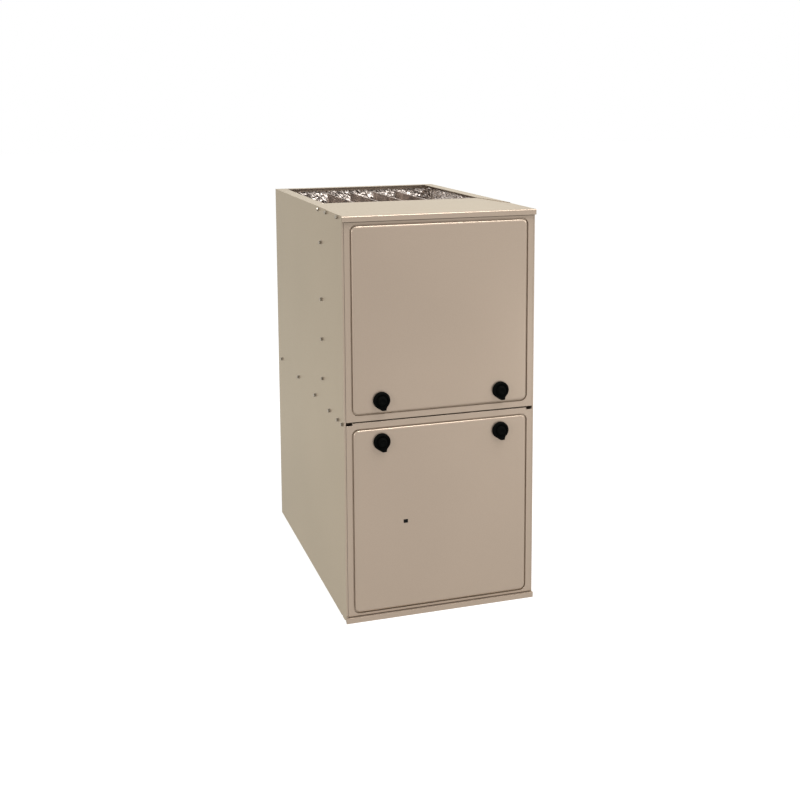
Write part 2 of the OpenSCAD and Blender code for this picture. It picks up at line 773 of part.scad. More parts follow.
module gas_valve() {
    mid = (valve_x[0] + valve_x[1]) / 2;
    z = [burner_z - 24, burner_z + 24];
    color([0.55, 0.56, 0.57]) difference() {
        union() {
            block([valve_x[0] + 6, valve_x[1] - 6], valve_d, z);
            for (edge = [valve_x[0], valve_x[1] - 8])
                rod_x([edge, edge + 8], manifold_d, burner_z, 19, 8);
            rod_z(mid, valve_d[1] - 20, [z[0] - 14, z[0] + EPS], 15);
            rod_z(mid, valve_d[1] - 20, [z[1] - EPS, z[1] + 12], 12);
            rod_y(mid, [valve_d[0] - 4, valve_d[0] + EPS], burner_z + 8, 14);
        }
        rod_x([valve_x[1] - 18, valve_x[1] + 1], manifold_d, burner_z, gas_bore_r);
        rod_y(valve_knob[0], [valve_d[0] - 5, valve_d[0] + 10], valve_knob[1], 4 + RUN, SMALL);
    }
}

module gas_valve_knob() {
    color([0.1, 0.15, 0.5]) union() {
        rod_y(valve_knob[0], [valve_d[0] - 4, valve_d[0] + 8], valve_knob[1], 4, SMALL);
        rod_y(valve_knob[0], [valve_d[0] - 14, valve_d[0] - 4 - SEAT], valve_knob[1], 11, SMALL);
        block([valve_knob[0] - 2.5, valve_knob[0] + 2.5], [valve_d[0] - 20, valve_d[0] - 13],
            [valve_knob[1] - 10, valve_knob[1] + 14]);
    }
}

// Ceramic block on the cell panel with a rod that reaches into the flame
module flame_probe(x, hot) {
    base_z = burner_z - probe_drop;
    block([x - 12, x + 12], [vestibule_d - 2, vestibule_d], [base_z, base_z + 20]);
    rod_y(x, [vestibule_d - 26, vestibule_d - 2 + EPS], base_z + 10, 6, SMALL);
    rod_z(x, probe_d, [base_z + 10, burner_z - (hot ? 12 : 16)], hot ? 2.6 : 1.6, SMALL);
}

module igniter() {
    color([0.9, 0.9, 0.86]) flame_probe(igniter_x, true);
}

module flame_sensor() {
    color([0.9, 0.9, 0.86]) flame_probe(sensor_x, false);
}

module disc_switch(x, d, z) {
    block([x - 20, x + 20], [d - 1.2, d], [z - 10, z + 10]);
    rod_y(x, [d - 12, d - 1.2 + EPS], z, 9, SMALL);
    for (s = [-1, 1])
        block([x + s * 5 - 3, x + s * 5 + 3], [d - 20, d - 12 + EPS], [z - 0.5, z + 0.5]);
}

module limit_switch() {
    color(zinc) disc_switch(40, vestibule_d, burner_z - 110);
}

module rollout_switch() {
    color(zinc) difference() {
        union() {
            block([-26, 26], [rollout_d - 1.5, rollout_d], [burner_z + 24, rollout_z + 11]);
            block([-26, 26], [rollout_d - 1.5, rollout_d + 18], [burner_z + 24, burner_z + 25.5]);
            rod_y(0, [rollout_d - 13, rollout_d - 1.5 + EPS], rollout_z, 9, SMALL);
            for (s = [-1, 1])
                block([s * 6 - 2, s * 6 + 2], [rollout_d - 18, rollout_d - 13 + EPS],
                    [rollout_z - 6, rollout_z - 5]);
        }
        rod_y(0, [rollout_d - 14, rollout_d - 5], rollout_z, 2 + RUN, SMALL);
    }
}

module rollout_button() {
    color([0.7, 0.1, 0.1]) union() {
        rod_y(0, [rollout_d - 15.5, rollout_d - 7.5], rollout_z, 2, SMALL);
        rod_y(0, [rollout_d - 17.5, rollout_d - 15.5 + EPS], rollout_z, 3.2, SMALL);
    }
}

module pressure_switch() {
    x = tap_x;
    z = pressure_z;
    color([0.75, 0.75, 0.72]) union() {
        block([x - 30, x + 30], [vestibule_d - 1.5, vestibule_d], [z - 34, z + 34]);
        rod_y(x, [vestibule_d - 26, vestibule_d - 1.5 + EPS], z, switch_r);
        rod_y(x, [vestibule_d - 36, vestibule_d - 26 + EPS], z, 12);
        block([x - 4, x + 4], [vestibule_d - 24, vestibule_d - 4], [z - 40, z - 20]);
        rod_z(x, drain_d, [z - 52, z - 20], 3, SMALL);
    }
}

module pressure_hose() {
    color(black) difference() {
        rod_z(tap_x, drain_d, [tap_top - 8, pressure_z - 40 - SEAT], 7, SMALL);
        rod_z(tap_x, drain_d, [tap_top - 11, tap_top + SEAT], 5 + RUN, SMALL);
        rod_z(tap_x, drain_d, [tap_top - 1, pressure_z - 30], 3 + RUN, SMALL);
    }
}

// ---------------------------------------------------------------- controls

module junction_box() {
    x = [inner - jbox[0], inner];
    d = [jbox_d, jbox_d + jbox[1]];
    z = [jbox_z, jbox_z + jbox[2]];
    color(zinc) difference() {
        union() {
            block(x, d, z);
            block([x[0] - 1, x[1]], [d[0] - 1.2, d[0] + EPS], [z[0] - 3, z[1] + 3]);
        }
        block([x[0] + sheet, x[1] - sheet], [d[0] + sheet, d[1] - sheet], [z[0] + sheet, z[1] - sheet]);
        rod_x([x[1] - 3, x[1] + 1], conduit[0], conduit[1], conduit_r);
    }
}

module control_panel() {
    color(zinc) union() {
        block(panel_x, [panel_d, panel_d + sheet], panel_z);
        block(panel_x, [panel_d, panel_d + 18], [panel_z[1] - sheet, panel_z[1]]);
        for (x = [panel_x[0], panel_x[1] - sheet])
            block([x, x + sheet], [panel_d - 12, panel_d + EPS], panel_z);
    }
}

// Printed circuit board with its relays, connectors, fuse holder and standoffs
module control_board() {
    mid = [(board_x[0] + board_x[1]) / 2, (board_z[0] + board_z[1]) / 2];
    size = [board_x[1] - board_x[0], board_z[1] - board_z[0]];
    color([0.12, 0.35, 0.18]) union() {
        block(board_x, [board_d - 1.6, board_d], board_z);
        for (sx = [-1, 1], sz = [-1, 1])
            rod_y(mid[0] + sx * (size[0] / 2 - 8), [board_d - EPS, panel_d],
                mid[1] + sz * (size[1] / 2 - 8), 3.5, SMALL);
        for (k = [0 : 3])
            block([board_x[0] + 12 + k * 30, board_x[0] + 36 + k * 30], [board_d - 17, board_d - 1.5],
                [board_z[1] - 50, board_z[1] - 22]);
        for (k = [0 : 1])
            block([board_x[0] + 10 + k * 62, board_x[0] + 60 + k * 62], [board_d - 13, board_d - 1.5],
                [board_z[0] + 6, board_z[0] + 18]);
        for (k = [0 : 5])
            block([board_x[0] + 12 + k * 9, board_x[0] + 14 + k * 9], [board_d - 11, board_d - 1.5],
                [mid[1] + 2, mid[1] + 9]);
        block([board_x[1] - 50, board_x[1] - 24], [board_d - 5, board_d - 1.5], [mid[1] - 14, mid[1] + 12]);
        rod_y(-sight_x, [board_d - 7, board_d - 1.5], sight_z, 2.5, SMALL);
    }
}

module transformer() {
    x = [panel_x[1] - 74, panel_x[1] - 14];
    z = [panel_z[0] + 22, panel_z[0] + 72];
    color([0.35, 0.36, 0.37]) union() {
        block(x, [panel_d - 44, panel_d - 8], z);
        block([x[0] + 14, x[1] - 14], [panel_d - 52, panel_d - 1], [z[0] + 8, z[1] - 8]);
        block([x[0] - 6, x[1] + 6], [panel_d - 8 - EPS, panel_d], [z[0] + 16, z[1] - 16]);
    }
}

module capacitor() {
    x = panel_x[1] - 44;
    z = [panel_z[0] + 110, panel_z[0] + 190];
    color([0.7, 0.71, 0.72]) union() {
        rod_z(x, panel_d - 22, z, 21);
        rod_z(x, panel_d - 22, [z[0] + 34, z[0] + 46], 22);
        block([x - 34, x + 34], [panel_d - 1.5, panel_d], [z[0] + 34, z[0] + 46]);
        block([x - 21, x + 21], [panel_d - 22, panel_d - 1], [z[0] + 34, z[0] + 46]);
        for (s = [-1, 1])
            block([x + s * 8 - 3, x + s * 8 + 3], [panel_d - 22.5, panel_d - 21.5], [z[1] - EPS, z[1] + 9]);
    }
}

module door_switch() {
    color(black) difference() {
        block([switch_x - 13, switch_x + 13], [shelf_d, shelf_d + 28], [deck_under - 20, deck_under]);
        rod_y(switch_x, [shelf_d - 1, shelf_d + 16], switch_z, plunger_r + RUN, SMALL);
    }
}

// The lower door's rear flange holds the plunger in
module door_switch_plunger() {
    color([0.9, 0.9, 0.9])
        rod_y(switch_x, [pan_d + SEAT / 3, shelf_d + 14], switch_z, plunger_r, SMALL);
}

// ---------------------------------------------------------------- blower

// Radius of the scroll at an angle that runs clockwise from the back of the housing
function scroll(a) = scroll_r - (scroll_r - cutoff_r) * a / tongue_a;

// The scroll's outline, seen from the right with the outlet up at the back
function scroll_points(grow) = concat(
    [[scroll_r + grow, deck_under - blower_z]],
    [for (a = [0 : 10 : tongue_a]) (scroll(a) + grow) * [cos(a), -sin(a)]],
    [[outlet[0] - grow, deck_under - blower_z]]);

module scroll_plate(thick, grow) {
    rotate([90, 0, 90]) linear_extrude(thick) polygon(scroll_points(grow));
}

module blower_housing() {
    w = housing_w / 2;
    top = deck_under;
    color(zinc) translate([0, front_y + blower_d, blower_z]) union() {
        difference() {
            translate([-w, 0, 0]) scroll_plate(housing_w, 0);
            translate([-w + sheet, 0, 0]) scroll_plate(housing_w - 2 * sheet, -sheet);
            translate([-w + sheet, outlet[0] + sheet, top - blower_z - 30])
                cube([housing_w - 2 * sheet, outlet[1] - outlet[0] - 2 * sheet, 40]);
            rotate([0, 90, 0]) cylinder(h = housing_w + 2, r = inlet_r + 6, center = true);
        }
        // rolled inlet rings
        for (s = [0, 1]) mirror([s, 0, 0]) translate([w, 0, 0]) rotate([0, -90, 0])
            rotate_extrude() polygon(concat(arc([inlet_r + 10, 10], 10, 270, 180, 6),
                arc([inlet_r + 10, 10], 9, 180, 270, 6)));
        // flanges that hang the housing under the deck
        for (s = [-1, 1])
            translate([s > 0 ? w - EPS : -w - 16 + EPS, outlet[0], top - blower_z - sheet])
                cube([16, outlet[1] - outlet[0], sheet]);
    }
}

// Forward curved blade: an arc between the wheel's inner and outer radius
module wheel_blade() {
    intersection() {
        translate([blade_root + 8, -13]) difference() {
            circle(17);
            circle(16);
        }
        difference() {
            circle(wheel_r - 1, $fn = 96);
            circle(blade_root, $fn = 96);
        }
        translate([blade_root - 2, -2]) square([30, 12]);
    }
}

module blower_wheel() {
    w = wheel_w / 2;
    color(zinc) translate([0, front_y + blower_d, blower_z]) rotate([0, 90, 0]) union() {
        translate([0, 0, -w]) linear_extrude(wheel_w)
            for (k = [0 : blades - 1]) rotate(k * 360 / blades) wheel_blade();
        for (s = [0, 1]) mirror([0, 0, s]) translate([0, 0, w - 5]) difference() {
            cylinder(h = 5, r = wheel_r, $fn = 96);
            translate([0, 0, -1]) cylinder(h = 7, r = wheel_r - 5, $fn = 96);
        }
        translate([0, 0, -1]) cylinder(h = 2, r = wheel_r - 2, $fn = 96);
        translate([0, 0, -22]) cylinder(h = 40, r = 20);
        translate([0, 0, -motor_in - 40]) cylinder(h = motor_in + 40 + 26, r = shaft_r);
    }
}

module blower_motor() {
    color([0.25, 0.26, 0.27]) difference() {
        union() {
            rod_x([-motor_out + 12, -motor_in - 12], blower_d, blower_z, motor_r);
            rod_x([-motor_out, -motor_in], blower_d, blower_z, motor_r - 10);
            rod_x([-motor_in - 1, -motor_in + 6], blower_d, blower_z, 14);
        }
        rod_x([-motor_in - 44, -motor_in + 7], blower_d, blower_z, shaft_r + RUN);
        for (a = [0 : 45 : 315])
            rod_x([-motor_out - 1, -motor_out + 8], blower_d + (motor_r - 24) * cos(a),
                blower_z + (motor_r - 24) * sin(a), 5, SMALL);
    }
}

// Band round the motor with three arms that end on the housing's left side
module motor_mount() {
    w = housing_w / 2;
    band = [-w - 16, -w + 12];
    color(zinc) difference() {
        union() {
            rod_x(band, blower_d, blower_z, motor_r + 2);
            for (a = [90, 210, 330])
                translate([0, front_y + blower_d, blower_z]) rotate([a, 0, 0]) {
                    translate([-w - 4, motor_r - 1, -11]) cube([3, inlet_r + 22 - motor_r, 22]);
                    translate([-w - 4, inlet_r + 9, -11]) cube([4, 14, 22]);
                }
        }
        rod_x([band[0] - 1, band[1] + 1], blower_d, blower_z, motor_r + RUN);
    }
}

// ---------------------------------------------------------------- fasteners and grommets

// Hex washer head screws along the cell panel, the deck, the top plate and the back seams
module casing_screws() {
    color(zinc) union() {
        for (s = side_screws, side = [-1, 1]) {
            out = side > 0 ? [half, half + screw_head_h] : [-half - screw_head_h, -half];
            rod_x([side > 0 ? half - 2.4 : -half - EPS, side > 0 ? half + EPS : -half + 2.4],
                s[0], s[1], screw_r, SMALL);
            rod_x(side > 0 ? [half, half + 0.8] : [-half - 0.8, -half], s[0], s[1], screw_washer_r, SMALL);
            rod_x(out, s[0], s[1], screw_hex_r, 6);
        }
        for (z = back_screws, side = [-1, 1]) {
            rod_y(side * (half - 10), [case_d - 2.4, case_d + EPS], z, screw_r, SMALL);
            rod_y(side * (half - 10), [case_d, case_d + 0.8], z, screw_washer_r, SMALL);
            rod_y(side * (half - 10), [case_d, case_d + screw_head_h], z, screw_hex_r, 6);
        }
    }
}

// Rubber grommets in the gas entry and the drain hole
module entry_grommets() {
    color(black) for (g = [[manifold_d, burner_z, gas_hole_r, gas_hole_r - 6],
            [drain_d, trap_out_z, trap_out_r + 1.5, trap_out_r + RUN]]) difference() {
        union() {
            rod_x([inner - 2, half + 1.2], g[0], g[1], g[2] - RUN);
            rod_x([half, half + 1.2], g[0], g[1], g[2] + 3);
            rod_x([inner - 2, inner], g[0], g[1], g[2] + 3);
        }
        rod_x([inner - 3, half + 2], g[0], g[1], g[3]);
    }
}

// ---------------------------------------------------------------- doors

// The step from the border to the raised field: a groove, then a rounded shoulder
module step_section() {
    top = sheet + field_rise;
    floor_y = sheet - groove_deep;
    polygon(concat([[groove_out, 0], [groove_out, sheet], [groove_w + sheet / 2, sheet],
        [groove_w, sheet / 2], [groove_w, floor_y], [0, floor_y]],
        arc([-shoulder_r, top - shoulder_r], shoulder_r, 0, 90, 5),
        [[-field_in, top], [-field_in, field_rise]],
        arc([-shoulder_r, top - shoulder_r], shoulder_r - sheet, 90, 0, 4),
        [[-sheet, floor_y - sheet], [groove_w + sheet, floor_y - sheet], [groove_w + sheet, 0]]));
}

// A pressed door pan with its raised field and rear flanges; z holds its lowest and highest edge,
// and ends holds the width of the border at each
module door_pan(z, ends) {
    tall = z[1] - z[0];
    field = [2 * (door_x - border_side), tall - ends[0] - ends[1]];
    mid_z = (z[0] + ends[0] + z[1] - ends[1]) / 2;
    difference() {
        union() {
            block([-door_x, door_x], [-sheet, 0], z);
            for (edge = [-door_x, door_x - sheet])
                block([edge, edge + sheet], [-sheet, pan_d], z);
            for (edge = [z[0], z[1] - sheet])
                block([-door_x, door_x], [-sheet, pan_d], [edge, edge + sheet]);
            for (edge = [z[0], z[1] - door_flange])
                block([-door_x, door_x], [pan_d - sheet, pan_d], [edge, edge + door_flange]);
            for (edge = [-door_x, door_x - door_flange])
                block([edge, edge + door_flange], [pan_d - sheet, pan_d], z);
        }
        translate([0, front_y + 1, mid_z]) rotate([90, 0, 0]) linear_extrude(sheet + 2)
            round_rect(field + [2, 2] * (groove_out - seam), field_r + groove_out - seam);
    }
    translate([0, front_y, mid_z]) rotate([90, 0, 0]) {
        frame_run(field, field_r) step_section();
        translate([0, 0, field_rise]) linear_extrude(sheet)
            round_rect(field - [2, 2] * (field_in - seam), field_r - field_in + seam);
    }
}

module knob_holes(z) {
    for (side = [-1, 1]) rod_y(side * knob_x, [field_face - 1, 1], z, stud_r + RUN, SMALL);
}

module upper_door() {
    color(paint) difference() {
        door_pan(upper_z, [border_split - door_gap / 2, border_end]);
        knob_holes(split_z + knob_from_split);
    }
}

module lower_door() {
    color(paint) difference() {
        door_pan(lower_z, [border_end, border_split - door_gap / 2]);
        knob_holes(split_z - knob_from_split);
        block([-sight_x - sight_w / 2, -sight_x + sight_w / 2], [field_face - 1, 1],
            [sight_z - sight_h / 2, sight_z + sight_h / 2]);
        // notches at the ends of the split
        for (edge = [-door_x - 1, door_x - corner_notch[0]])
            block([edge, edge + corner_notch[0] + 1], [-sheet - 1, pan_d + 1],
                [lower_z[1] - corner_notch[1], lower_z[1] + 1]);
    }
}

module sight_glass() {
    back = field_face + sheet;
    color([0.1, 0.1, 0.1]) union() {
        block([-sight_x - sight_w / 2 + 0.1, -sight_x + sight_w / 2 - 0.1], [field_face - 0.6, back + 2],
            [sight_z - sight_h / 2 + 0.1, sight_z + sight_h / 2 - 0.1]);
        block([-sight_x - sight_w / 2 - 2, -sight_x + sight_w / 2 + 2], [back, back + 1.5],
            [sight_z - sight_h / 2 - 2, sight_z + sight_h / 2 + 2]);
    }
}

// Quarter turn knob with a stepped face and a finger spur at five o'clock, on a stud
module knob(x, z) {
    r = knob_dia / 2;
    color(black) translate([x, front_y + field_face, z]) rotate([90, 0, 0]) union() {
        rotate_extrude() polygon(concat([[0, SEAT], [r, SEAT], [r, 5]], arc([r - 3, 5], 3, 0, 90, 4),
            [[r - 5, 8], [r - 6, 6.6], [r - 8.5, 6.6]], [[r - 10, knob_h - 1.5], [r - 11.5, knob_h]],
            [[0, knob_h]]));
        translate([0, 0, SEAT]) linear_extrude(5)
            polygon([[0, 0], r * [-sin(30), -cos(30)], [1, -r - spur_l], [1 + spur_w, -r - spur_l + 0.5],
                r * [cos(48), -sin(48)]]);
        translate([0, 0, -stud_in]) cylinder(h = stud_in + SEAT + EPS, r = stud_r, $fn = SMALL);
    }
}

module upper_left_knob() {
    knob(-knob_x, split_z + knob_from_split);
}

module upper_right_knob() {
    knob(knob_x, split_z + knob_from_split);
}

module lower_left_knob() {
    knob(-knob_x, split_z - knob_from_split);
}

module lower_right_knob() {
    knob(knob_x, split_z - knob_from_split);
}

// Cam behind the door, drawn turned open: it points at the middle of the door, and a quarter
// turn takes its tip behind the deck's lock edge
module cam(x, z) {
    inward = x > 0 ? -1 : 1;
    color(zinc) union() {
        rod_y(x, [field_face + stud_in, cam_d + EPS], z, stud_r, SMALL);
        rod_y(x, [cam_d, cam_d + cam_t], z, cam_w / 2, SMALL);
        block([min(x, x + inward * cam_l), max(x, x + inward * cam_l)], [cam_d, cam_d + cam_t],
            [z - cam_w / 2, z + cam_w / 2]);
    }
}

module upper_left_cam() {
    cam(-knob_x, split_z + knob_from_split);
}

module upper_right_cam() {
    cam(knob_x, split_z + knob_from_split);
}

module lower_left_cam() {
    cam(-knob_x, split_z - knob_from_split);
}

module lower_right_cam() {
    cam(knob_x, split_z - knob_from_split);
}

casing_left_side();
casing_right_side();
casing_back();
casing_rails();
top_plate();
base_rail();
blower_deck();
cell_panel();
left_insulation();
right_insulation();
back_insulation();
heat_cell(0);  // heat_cell_1
heat_cell(1);  // heat_cell_2
heat_cell(2);  // heat_cell_3
heat_cell(3);  // heat_cell_4
coupling_box();
secondary_coil();
collector_box();
drain_coupling();
condensate_trap();
inducer_housing();
inducer_motor();
inducer_wheel();
vent_pipe();
pipe_couplings();
burner_rack();
gas_manifold();
gas_valve();
gas_valve_knob();
igniter();
flame_sensor();
limit_switch();
rollout_switch();
rollout_button();
pressure_switch();
pressure_hose();
junction_box();
control_panel();
control_board();
transformer();
capacitor();
door_switch();
door_switch_plunger();
blower_housing();
blower_wheel();
blower_motor();
motor_mount();
casing_screws();
entry_grommets();
upper_door();
lower_door();
sight_glass();
upper_left_knob();
upper_right_knob();
lower_left_knob();
lower_right_knob();
upper_left_cam();
upper_right_cam();
lower_left_cam();
lower_right_cam();
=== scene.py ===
"""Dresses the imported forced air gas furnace.

Its sheet metal gets folded edges, the insulation crinkled foil, and the doors their knobs. The control board, the
motors, the electrics and the wiring behind the doors are modelled here too, and every piece gets its finish.
"""

import json
import logging
import math
from dataclasses import dataclass, field
from enum import Enum
from typing import Callable, Sequence

import bmesh
import bpy
from mathutils import Matrix, Vector, noise


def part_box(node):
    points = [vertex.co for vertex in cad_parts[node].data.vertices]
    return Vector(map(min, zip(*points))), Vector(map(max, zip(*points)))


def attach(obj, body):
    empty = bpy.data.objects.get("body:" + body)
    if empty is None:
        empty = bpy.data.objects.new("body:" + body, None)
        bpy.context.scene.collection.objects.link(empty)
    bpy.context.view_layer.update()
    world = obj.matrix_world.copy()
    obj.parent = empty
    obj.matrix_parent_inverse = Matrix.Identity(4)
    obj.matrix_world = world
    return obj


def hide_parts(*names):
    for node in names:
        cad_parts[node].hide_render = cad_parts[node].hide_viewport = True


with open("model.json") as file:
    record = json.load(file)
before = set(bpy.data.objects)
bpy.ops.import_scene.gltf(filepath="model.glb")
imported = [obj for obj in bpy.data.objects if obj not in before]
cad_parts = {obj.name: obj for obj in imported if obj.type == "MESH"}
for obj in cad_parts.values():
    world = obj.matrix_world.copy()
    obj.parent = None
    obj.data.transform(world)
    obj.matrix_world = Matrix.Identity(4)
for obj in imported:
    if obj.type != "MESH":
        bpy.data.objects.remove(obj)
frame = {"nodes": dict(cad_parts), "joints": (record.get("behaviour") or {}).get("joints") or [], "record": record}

LOG = logging.getLogger("furnace")
MM = 0.001
Place = tuple[float, float, float]
Span = tuple[float, float]
Colour = tuple[float, float, float, float]


# ---------------------------------------------------------------------------- small tools


def linear(code: str) -> Colour:
    """Turns an sRGB hex colour into the linear colour that shaders take.

    Args:
        code: Six hex digits.

    Returns:
        Linear red, green, blue and an alpha of 1.
    """
    parts = [int(code[i : i + 2], 16) / 255 for i in (0, 2, 4)]
    red, green, blue = (c / 12.92 if c <= 0.04045 else ((c + 0.055) / 1.055) ** 2.4 for c in parts)
    return red, green, blue, 1.0


def per_metre(size_mm: float) -> float:
    """Returns the texture scale whose pattern repeats about every size_mm on Object coordinates."""
    return 1000.0 / size_mm


def add_node(tree: bpy.types.NodeTree, kind: str, inputs: dict | None = None, **settings: object) -> bpy.types.Node:
    """Adds one shader node.

    Args:
        tree: The material's node tree.
        kind: The node's Blender type name.
        inputs: Input name or index, with a constant or the socket that feeds it.
        settings: The node's own properties.

    Returns:
        The new node.
    """
    node = tree.nodes.new(kind)
    for name, value in settings.items():
        setattr(node, name, value)
    for name, value in (inputs or {}).items():
        if isinstance(value, bpy.types.NodeSocket):
            tree.links.new(value, node.inputs[name])
        else:
            node.inputs[name].default_value = value
    return node


def noise_of(tree: bpy.types.NodeTree, place: bpy.types.NodeSocket, size_mm: float, detail: float,
             **inputs: float) -> bpy.types.NodeSocket:
    """Adds a noise pattern.

    Args:
        tree: The material's node tree.
        place: Object coordinates.
        size_mm: The size of its largest blots.
        detail: How many finer layers it has.
        inputs: Other inputs of the node.

    Returns:
        The pattern's value.
    """
    return add_node(tree, "ShaderNodeTexNoise", {
        "Vector": place, "Scale": per_metre(size_mm), "Detail": detail, **inputs}).outputs["Fac"]


def remap(tree: bpy.types.NodeTree, value: bpy.types.NodeSocket, source: Span,
          target: Span) -> bpy.types.NodeSocket:
    """Maps one range of a value to another, and clamps what lies outside it.

    Args:
        tree: The material's node tree.
        value: The value.
        source: The two ends of its range.
        target: What they become.

    Returns:
        The new value.
    """
    return add_node(tree, "ShaderNodeMapRange", {
        "Value": value, "From Min": source[0], "From Max": source[1], "To Min": target[0], "To Max": target[1],
    }).outputs[0]


def shaded(tree: bpy.types.NodeTree, code: str, level: bpy.types.NodeSocket) -> bpy.types.NodeSocket:
    """Returns a hex colour made lighter and darker by a level round 1."""
    return add_node(tree, "ShaderNodeVectorMath", {0: linear(code)[:3], "Scale": level},
                    operation="SCALE").outputs[0]


def empty_tree(holder: bpy.types.Material | bpy.types.World) -> bpy.types.NodeTree:
    """Turns on a material's or world's nodes and returns the tree without any."""
    holder.use_nodes = True
    holder.node_tree.nodes.clear()
    return holder.node_tree


def moved(x: float, y: float, z: float) -> Matrix:
    """Returns a move by lengths in mm."""
    return Matrix.Translation(Vector((x, y, z)) * MM)


def turned(degrees: float, axis: str = "Z") -> Matrix:
    """Returns a turn about one axis."""
    return Matrix.Rotation(math.radians(degrees), 4, axis)


def put_in_scene(thing: bpy.types.Object) -> bpy.types.Object:
    """Links an object into the scene and returns it."""
    bpy.context.scene.collection.objects.link(thing)
    return thing


def start_afresh() -> None:
    """Leaves edit mode and deselects everything."""
    active = bpy.context.view_layer.objects.active
    if active is not None and active.mode == "EDIT":
        bpy.ops.object.mode_set(mode="OBJECT")
    bpy.ops.object.select_all(action="DESELECT")


def only(piece: bpy.types.Object) -> None:
    """Selects one piece alone and makes it active."""
    start_afresh()
    piece.select_set(True)
    bpy.context.view_layer.objects.active = piece


class Bench:
    """One mesh piece under edit, with selection by place and Blender's own modelling operators."""

    def __init__(self, piece: bpy.types.Object, name: str) -> None:
        """Starts on a piece and names it."""
        self.piece = piece
        piece.name = name
        piece.data.name = name

    @classmethod
    def circle(cls, name: str, radius: float, sides: int, z: float = 0.0, turn: float = 0.0) -> "Bench":
        """Starts from a filled circle in the XY plane; lengths in mm, turn in degrees."""
        start_afresh()
        bpy.ops.mesh.primitive_circle_add(
            vertices=sides, radius=radius * MM, fill_type="NGON", location=(0, 0, z * MM),
            rotation=(0, 0, math.radians(turn)),
        )
        return cls(bpy.context.object, name)

    @classmethod
    def cube(cls, name: str, low: Sequence[float], high: Sequence[float]) -> "Bench":
        """Starts from a cuboid between two corners, in mm."""
        start_afresh()
        bpy.ops.mesh.primitive_cube_add(size=1)
        piece = bpy.context.object
        piece.scale = [(b - a) * MM for a, b in zip(low, high)]
        piece.location = [(a + b) / 2 * MM for a, b in zip(low, high)]
        bench = cls(piece, name)
        bench.settle()
        return bench

    @classmethod
    def outline(cls, name: str, points: Sequence[tuple[float, float]], low: float, high: float) -> "Bench":
        """Starts from a filled outline in the XY plane, in mm, and extrudes it between two heights."""
        bench = cls.circle(name, 10.0, len(points), low)
        bench.enter("VERT")
        for number, point in enumerate(points):
            mesh = bmesh.from_edit_mesh(bench.piece.data)
            mesh.verts.ensure_lookup_table()
            for vert in mesh.verts:
                vert.select_set(vert.index == number)
            bmesh.update_edit_mesh(bench.piece.data)
            here = mesh.verts[number].co / MM
            bench.move(point[0] - here.x, point[1] - here.y)
        return bench.whole().extrude(z=high - low).clean()

    @classmethod
    def lathe(cls, name: str, profile: Sequence[tuple[float, float]], sides: int = 32) -> "Bench":
        """Turns a solid round the z axis: a disc, extruded and scaled through radii and heights in mm."""
        radius, height = profile[0]
        bench = cls.circle(name, radius, sides, height).whole()
        for wide, high in profile[1:]:
            bench.extrude(z=high - height).scale(wide / radius, wide / radius)
            radius, height = wide, high
        return bench.clean()

    @classmethod
    def wire(cls, name: str, route: Sequence[Place], radius: float) -> "Bench":
        """Sweeps a round wire along a smooth curve that follows a route, in mm."""
        start_afresh()
        bpy.ops.curve.primitive_nurbs_path_add()
        piece = bpy.context.object
        curve = piece.data
        curve.splines.clear()
        spline = curve.splines.new("NURBS")
        spline.points.add(len(route) - 1)
        for point, spot in zip(spline.points, route):
            point.co = (*(length * MM for length in spot), 1.0)
        spline.order_u = 4
        spline.use_endpoint_u = True
        spline.resolution_u = 6
        curve.bevel_depth = radius * MM
        curve.bevel_resolution = 2
        curve.use_fill_caps = True
        bpy.ops.object.convert(target="MESH")
        bpy.ops.object.shade_smooth()
        return cls(bpy.context.object, name)

    def settle(self) -> "Bench":
        """Puts the piece's place, turn and scale into its mesh."""
        only(self.piece)
        bpy.ops.object.transform_apply(location=True, rotation=True, scale=True)
        return self

    def place(self, matrix: Matrix) -> "Bench":
        """Moves the whole piece by a matrix and settles it."""
        self.piece.matrix_world = matrix @ self.piece.matrix_world
        return self.settle()

    def faces(self, test: Callable[[Vector, Vector], bool]) -> "Bench":
        """Enters edit mode with the faces selected whose centre (mm) and normal pass the test."""
        return self.pick("FACE", lambda face: test(face.calc_center_median() / MM, face.normal))

    def whole(self) -> "Bench":
        """Enters edit mode with every face selected."""
        return self.faces(lambda centre, normal: True)

    def top(self) -> "Bench":
        """Enters edit mode with the faces selected that look up."""
        return self.faces(lambda centre, normal: normal.z > 0.9)

    def edges(self, test: Callable[[Vector, Vector], bool]) -> "Bench":
        """Enters edit mode with the edges selected whose two ends (mm) pass the test."""
        return self.pick("EDGE", lambda edge: test(edge.verts[0].co / MM, edge.verts[1].co / MM))

    def pick(self, mode: str, test: Callable[[bmesh.types.BMFace | bmesh.types.BMEdge], bool]) -> "Bench":
        """Enters edit mode with just the faces or edges selected that pass a test."""
        self.enter(mode)
        mesh = bmesh.from_edit_mesh(self.piece.data)
        for element in (*mesh.verts, *mesh.edges, *mesh.faces):
            element.select = False
        for element in mesh.faces if mode == "FACE" else mesh.edges:
            element.select_set(test(element))
        mesh.select_flush_mode()
        bmesh.update_edit_mesh(self.piece.data)
        return self

    def round_along(self, axis: int, radius: float, segments: int) -> "Bench":
        """Rounds the edges that run along one axis, to a radius in mm."""
        self.edges(lambda a, b: abs(a[axis] - b[axis]) > 1)
        bpy.ops.mesh.bevel(offset=radius * MM, segments=segments)
        return self

    def enter(self, mode: str) -> None:
        """Enters edit mode with one kind of element to select."""
        if self.piece.mode != "EDIT":
            only(self.piece)
            bpy.ops.object.mode_set(mode="EDIT")
        bpy.ops.mesh.select_mode(type=mode)

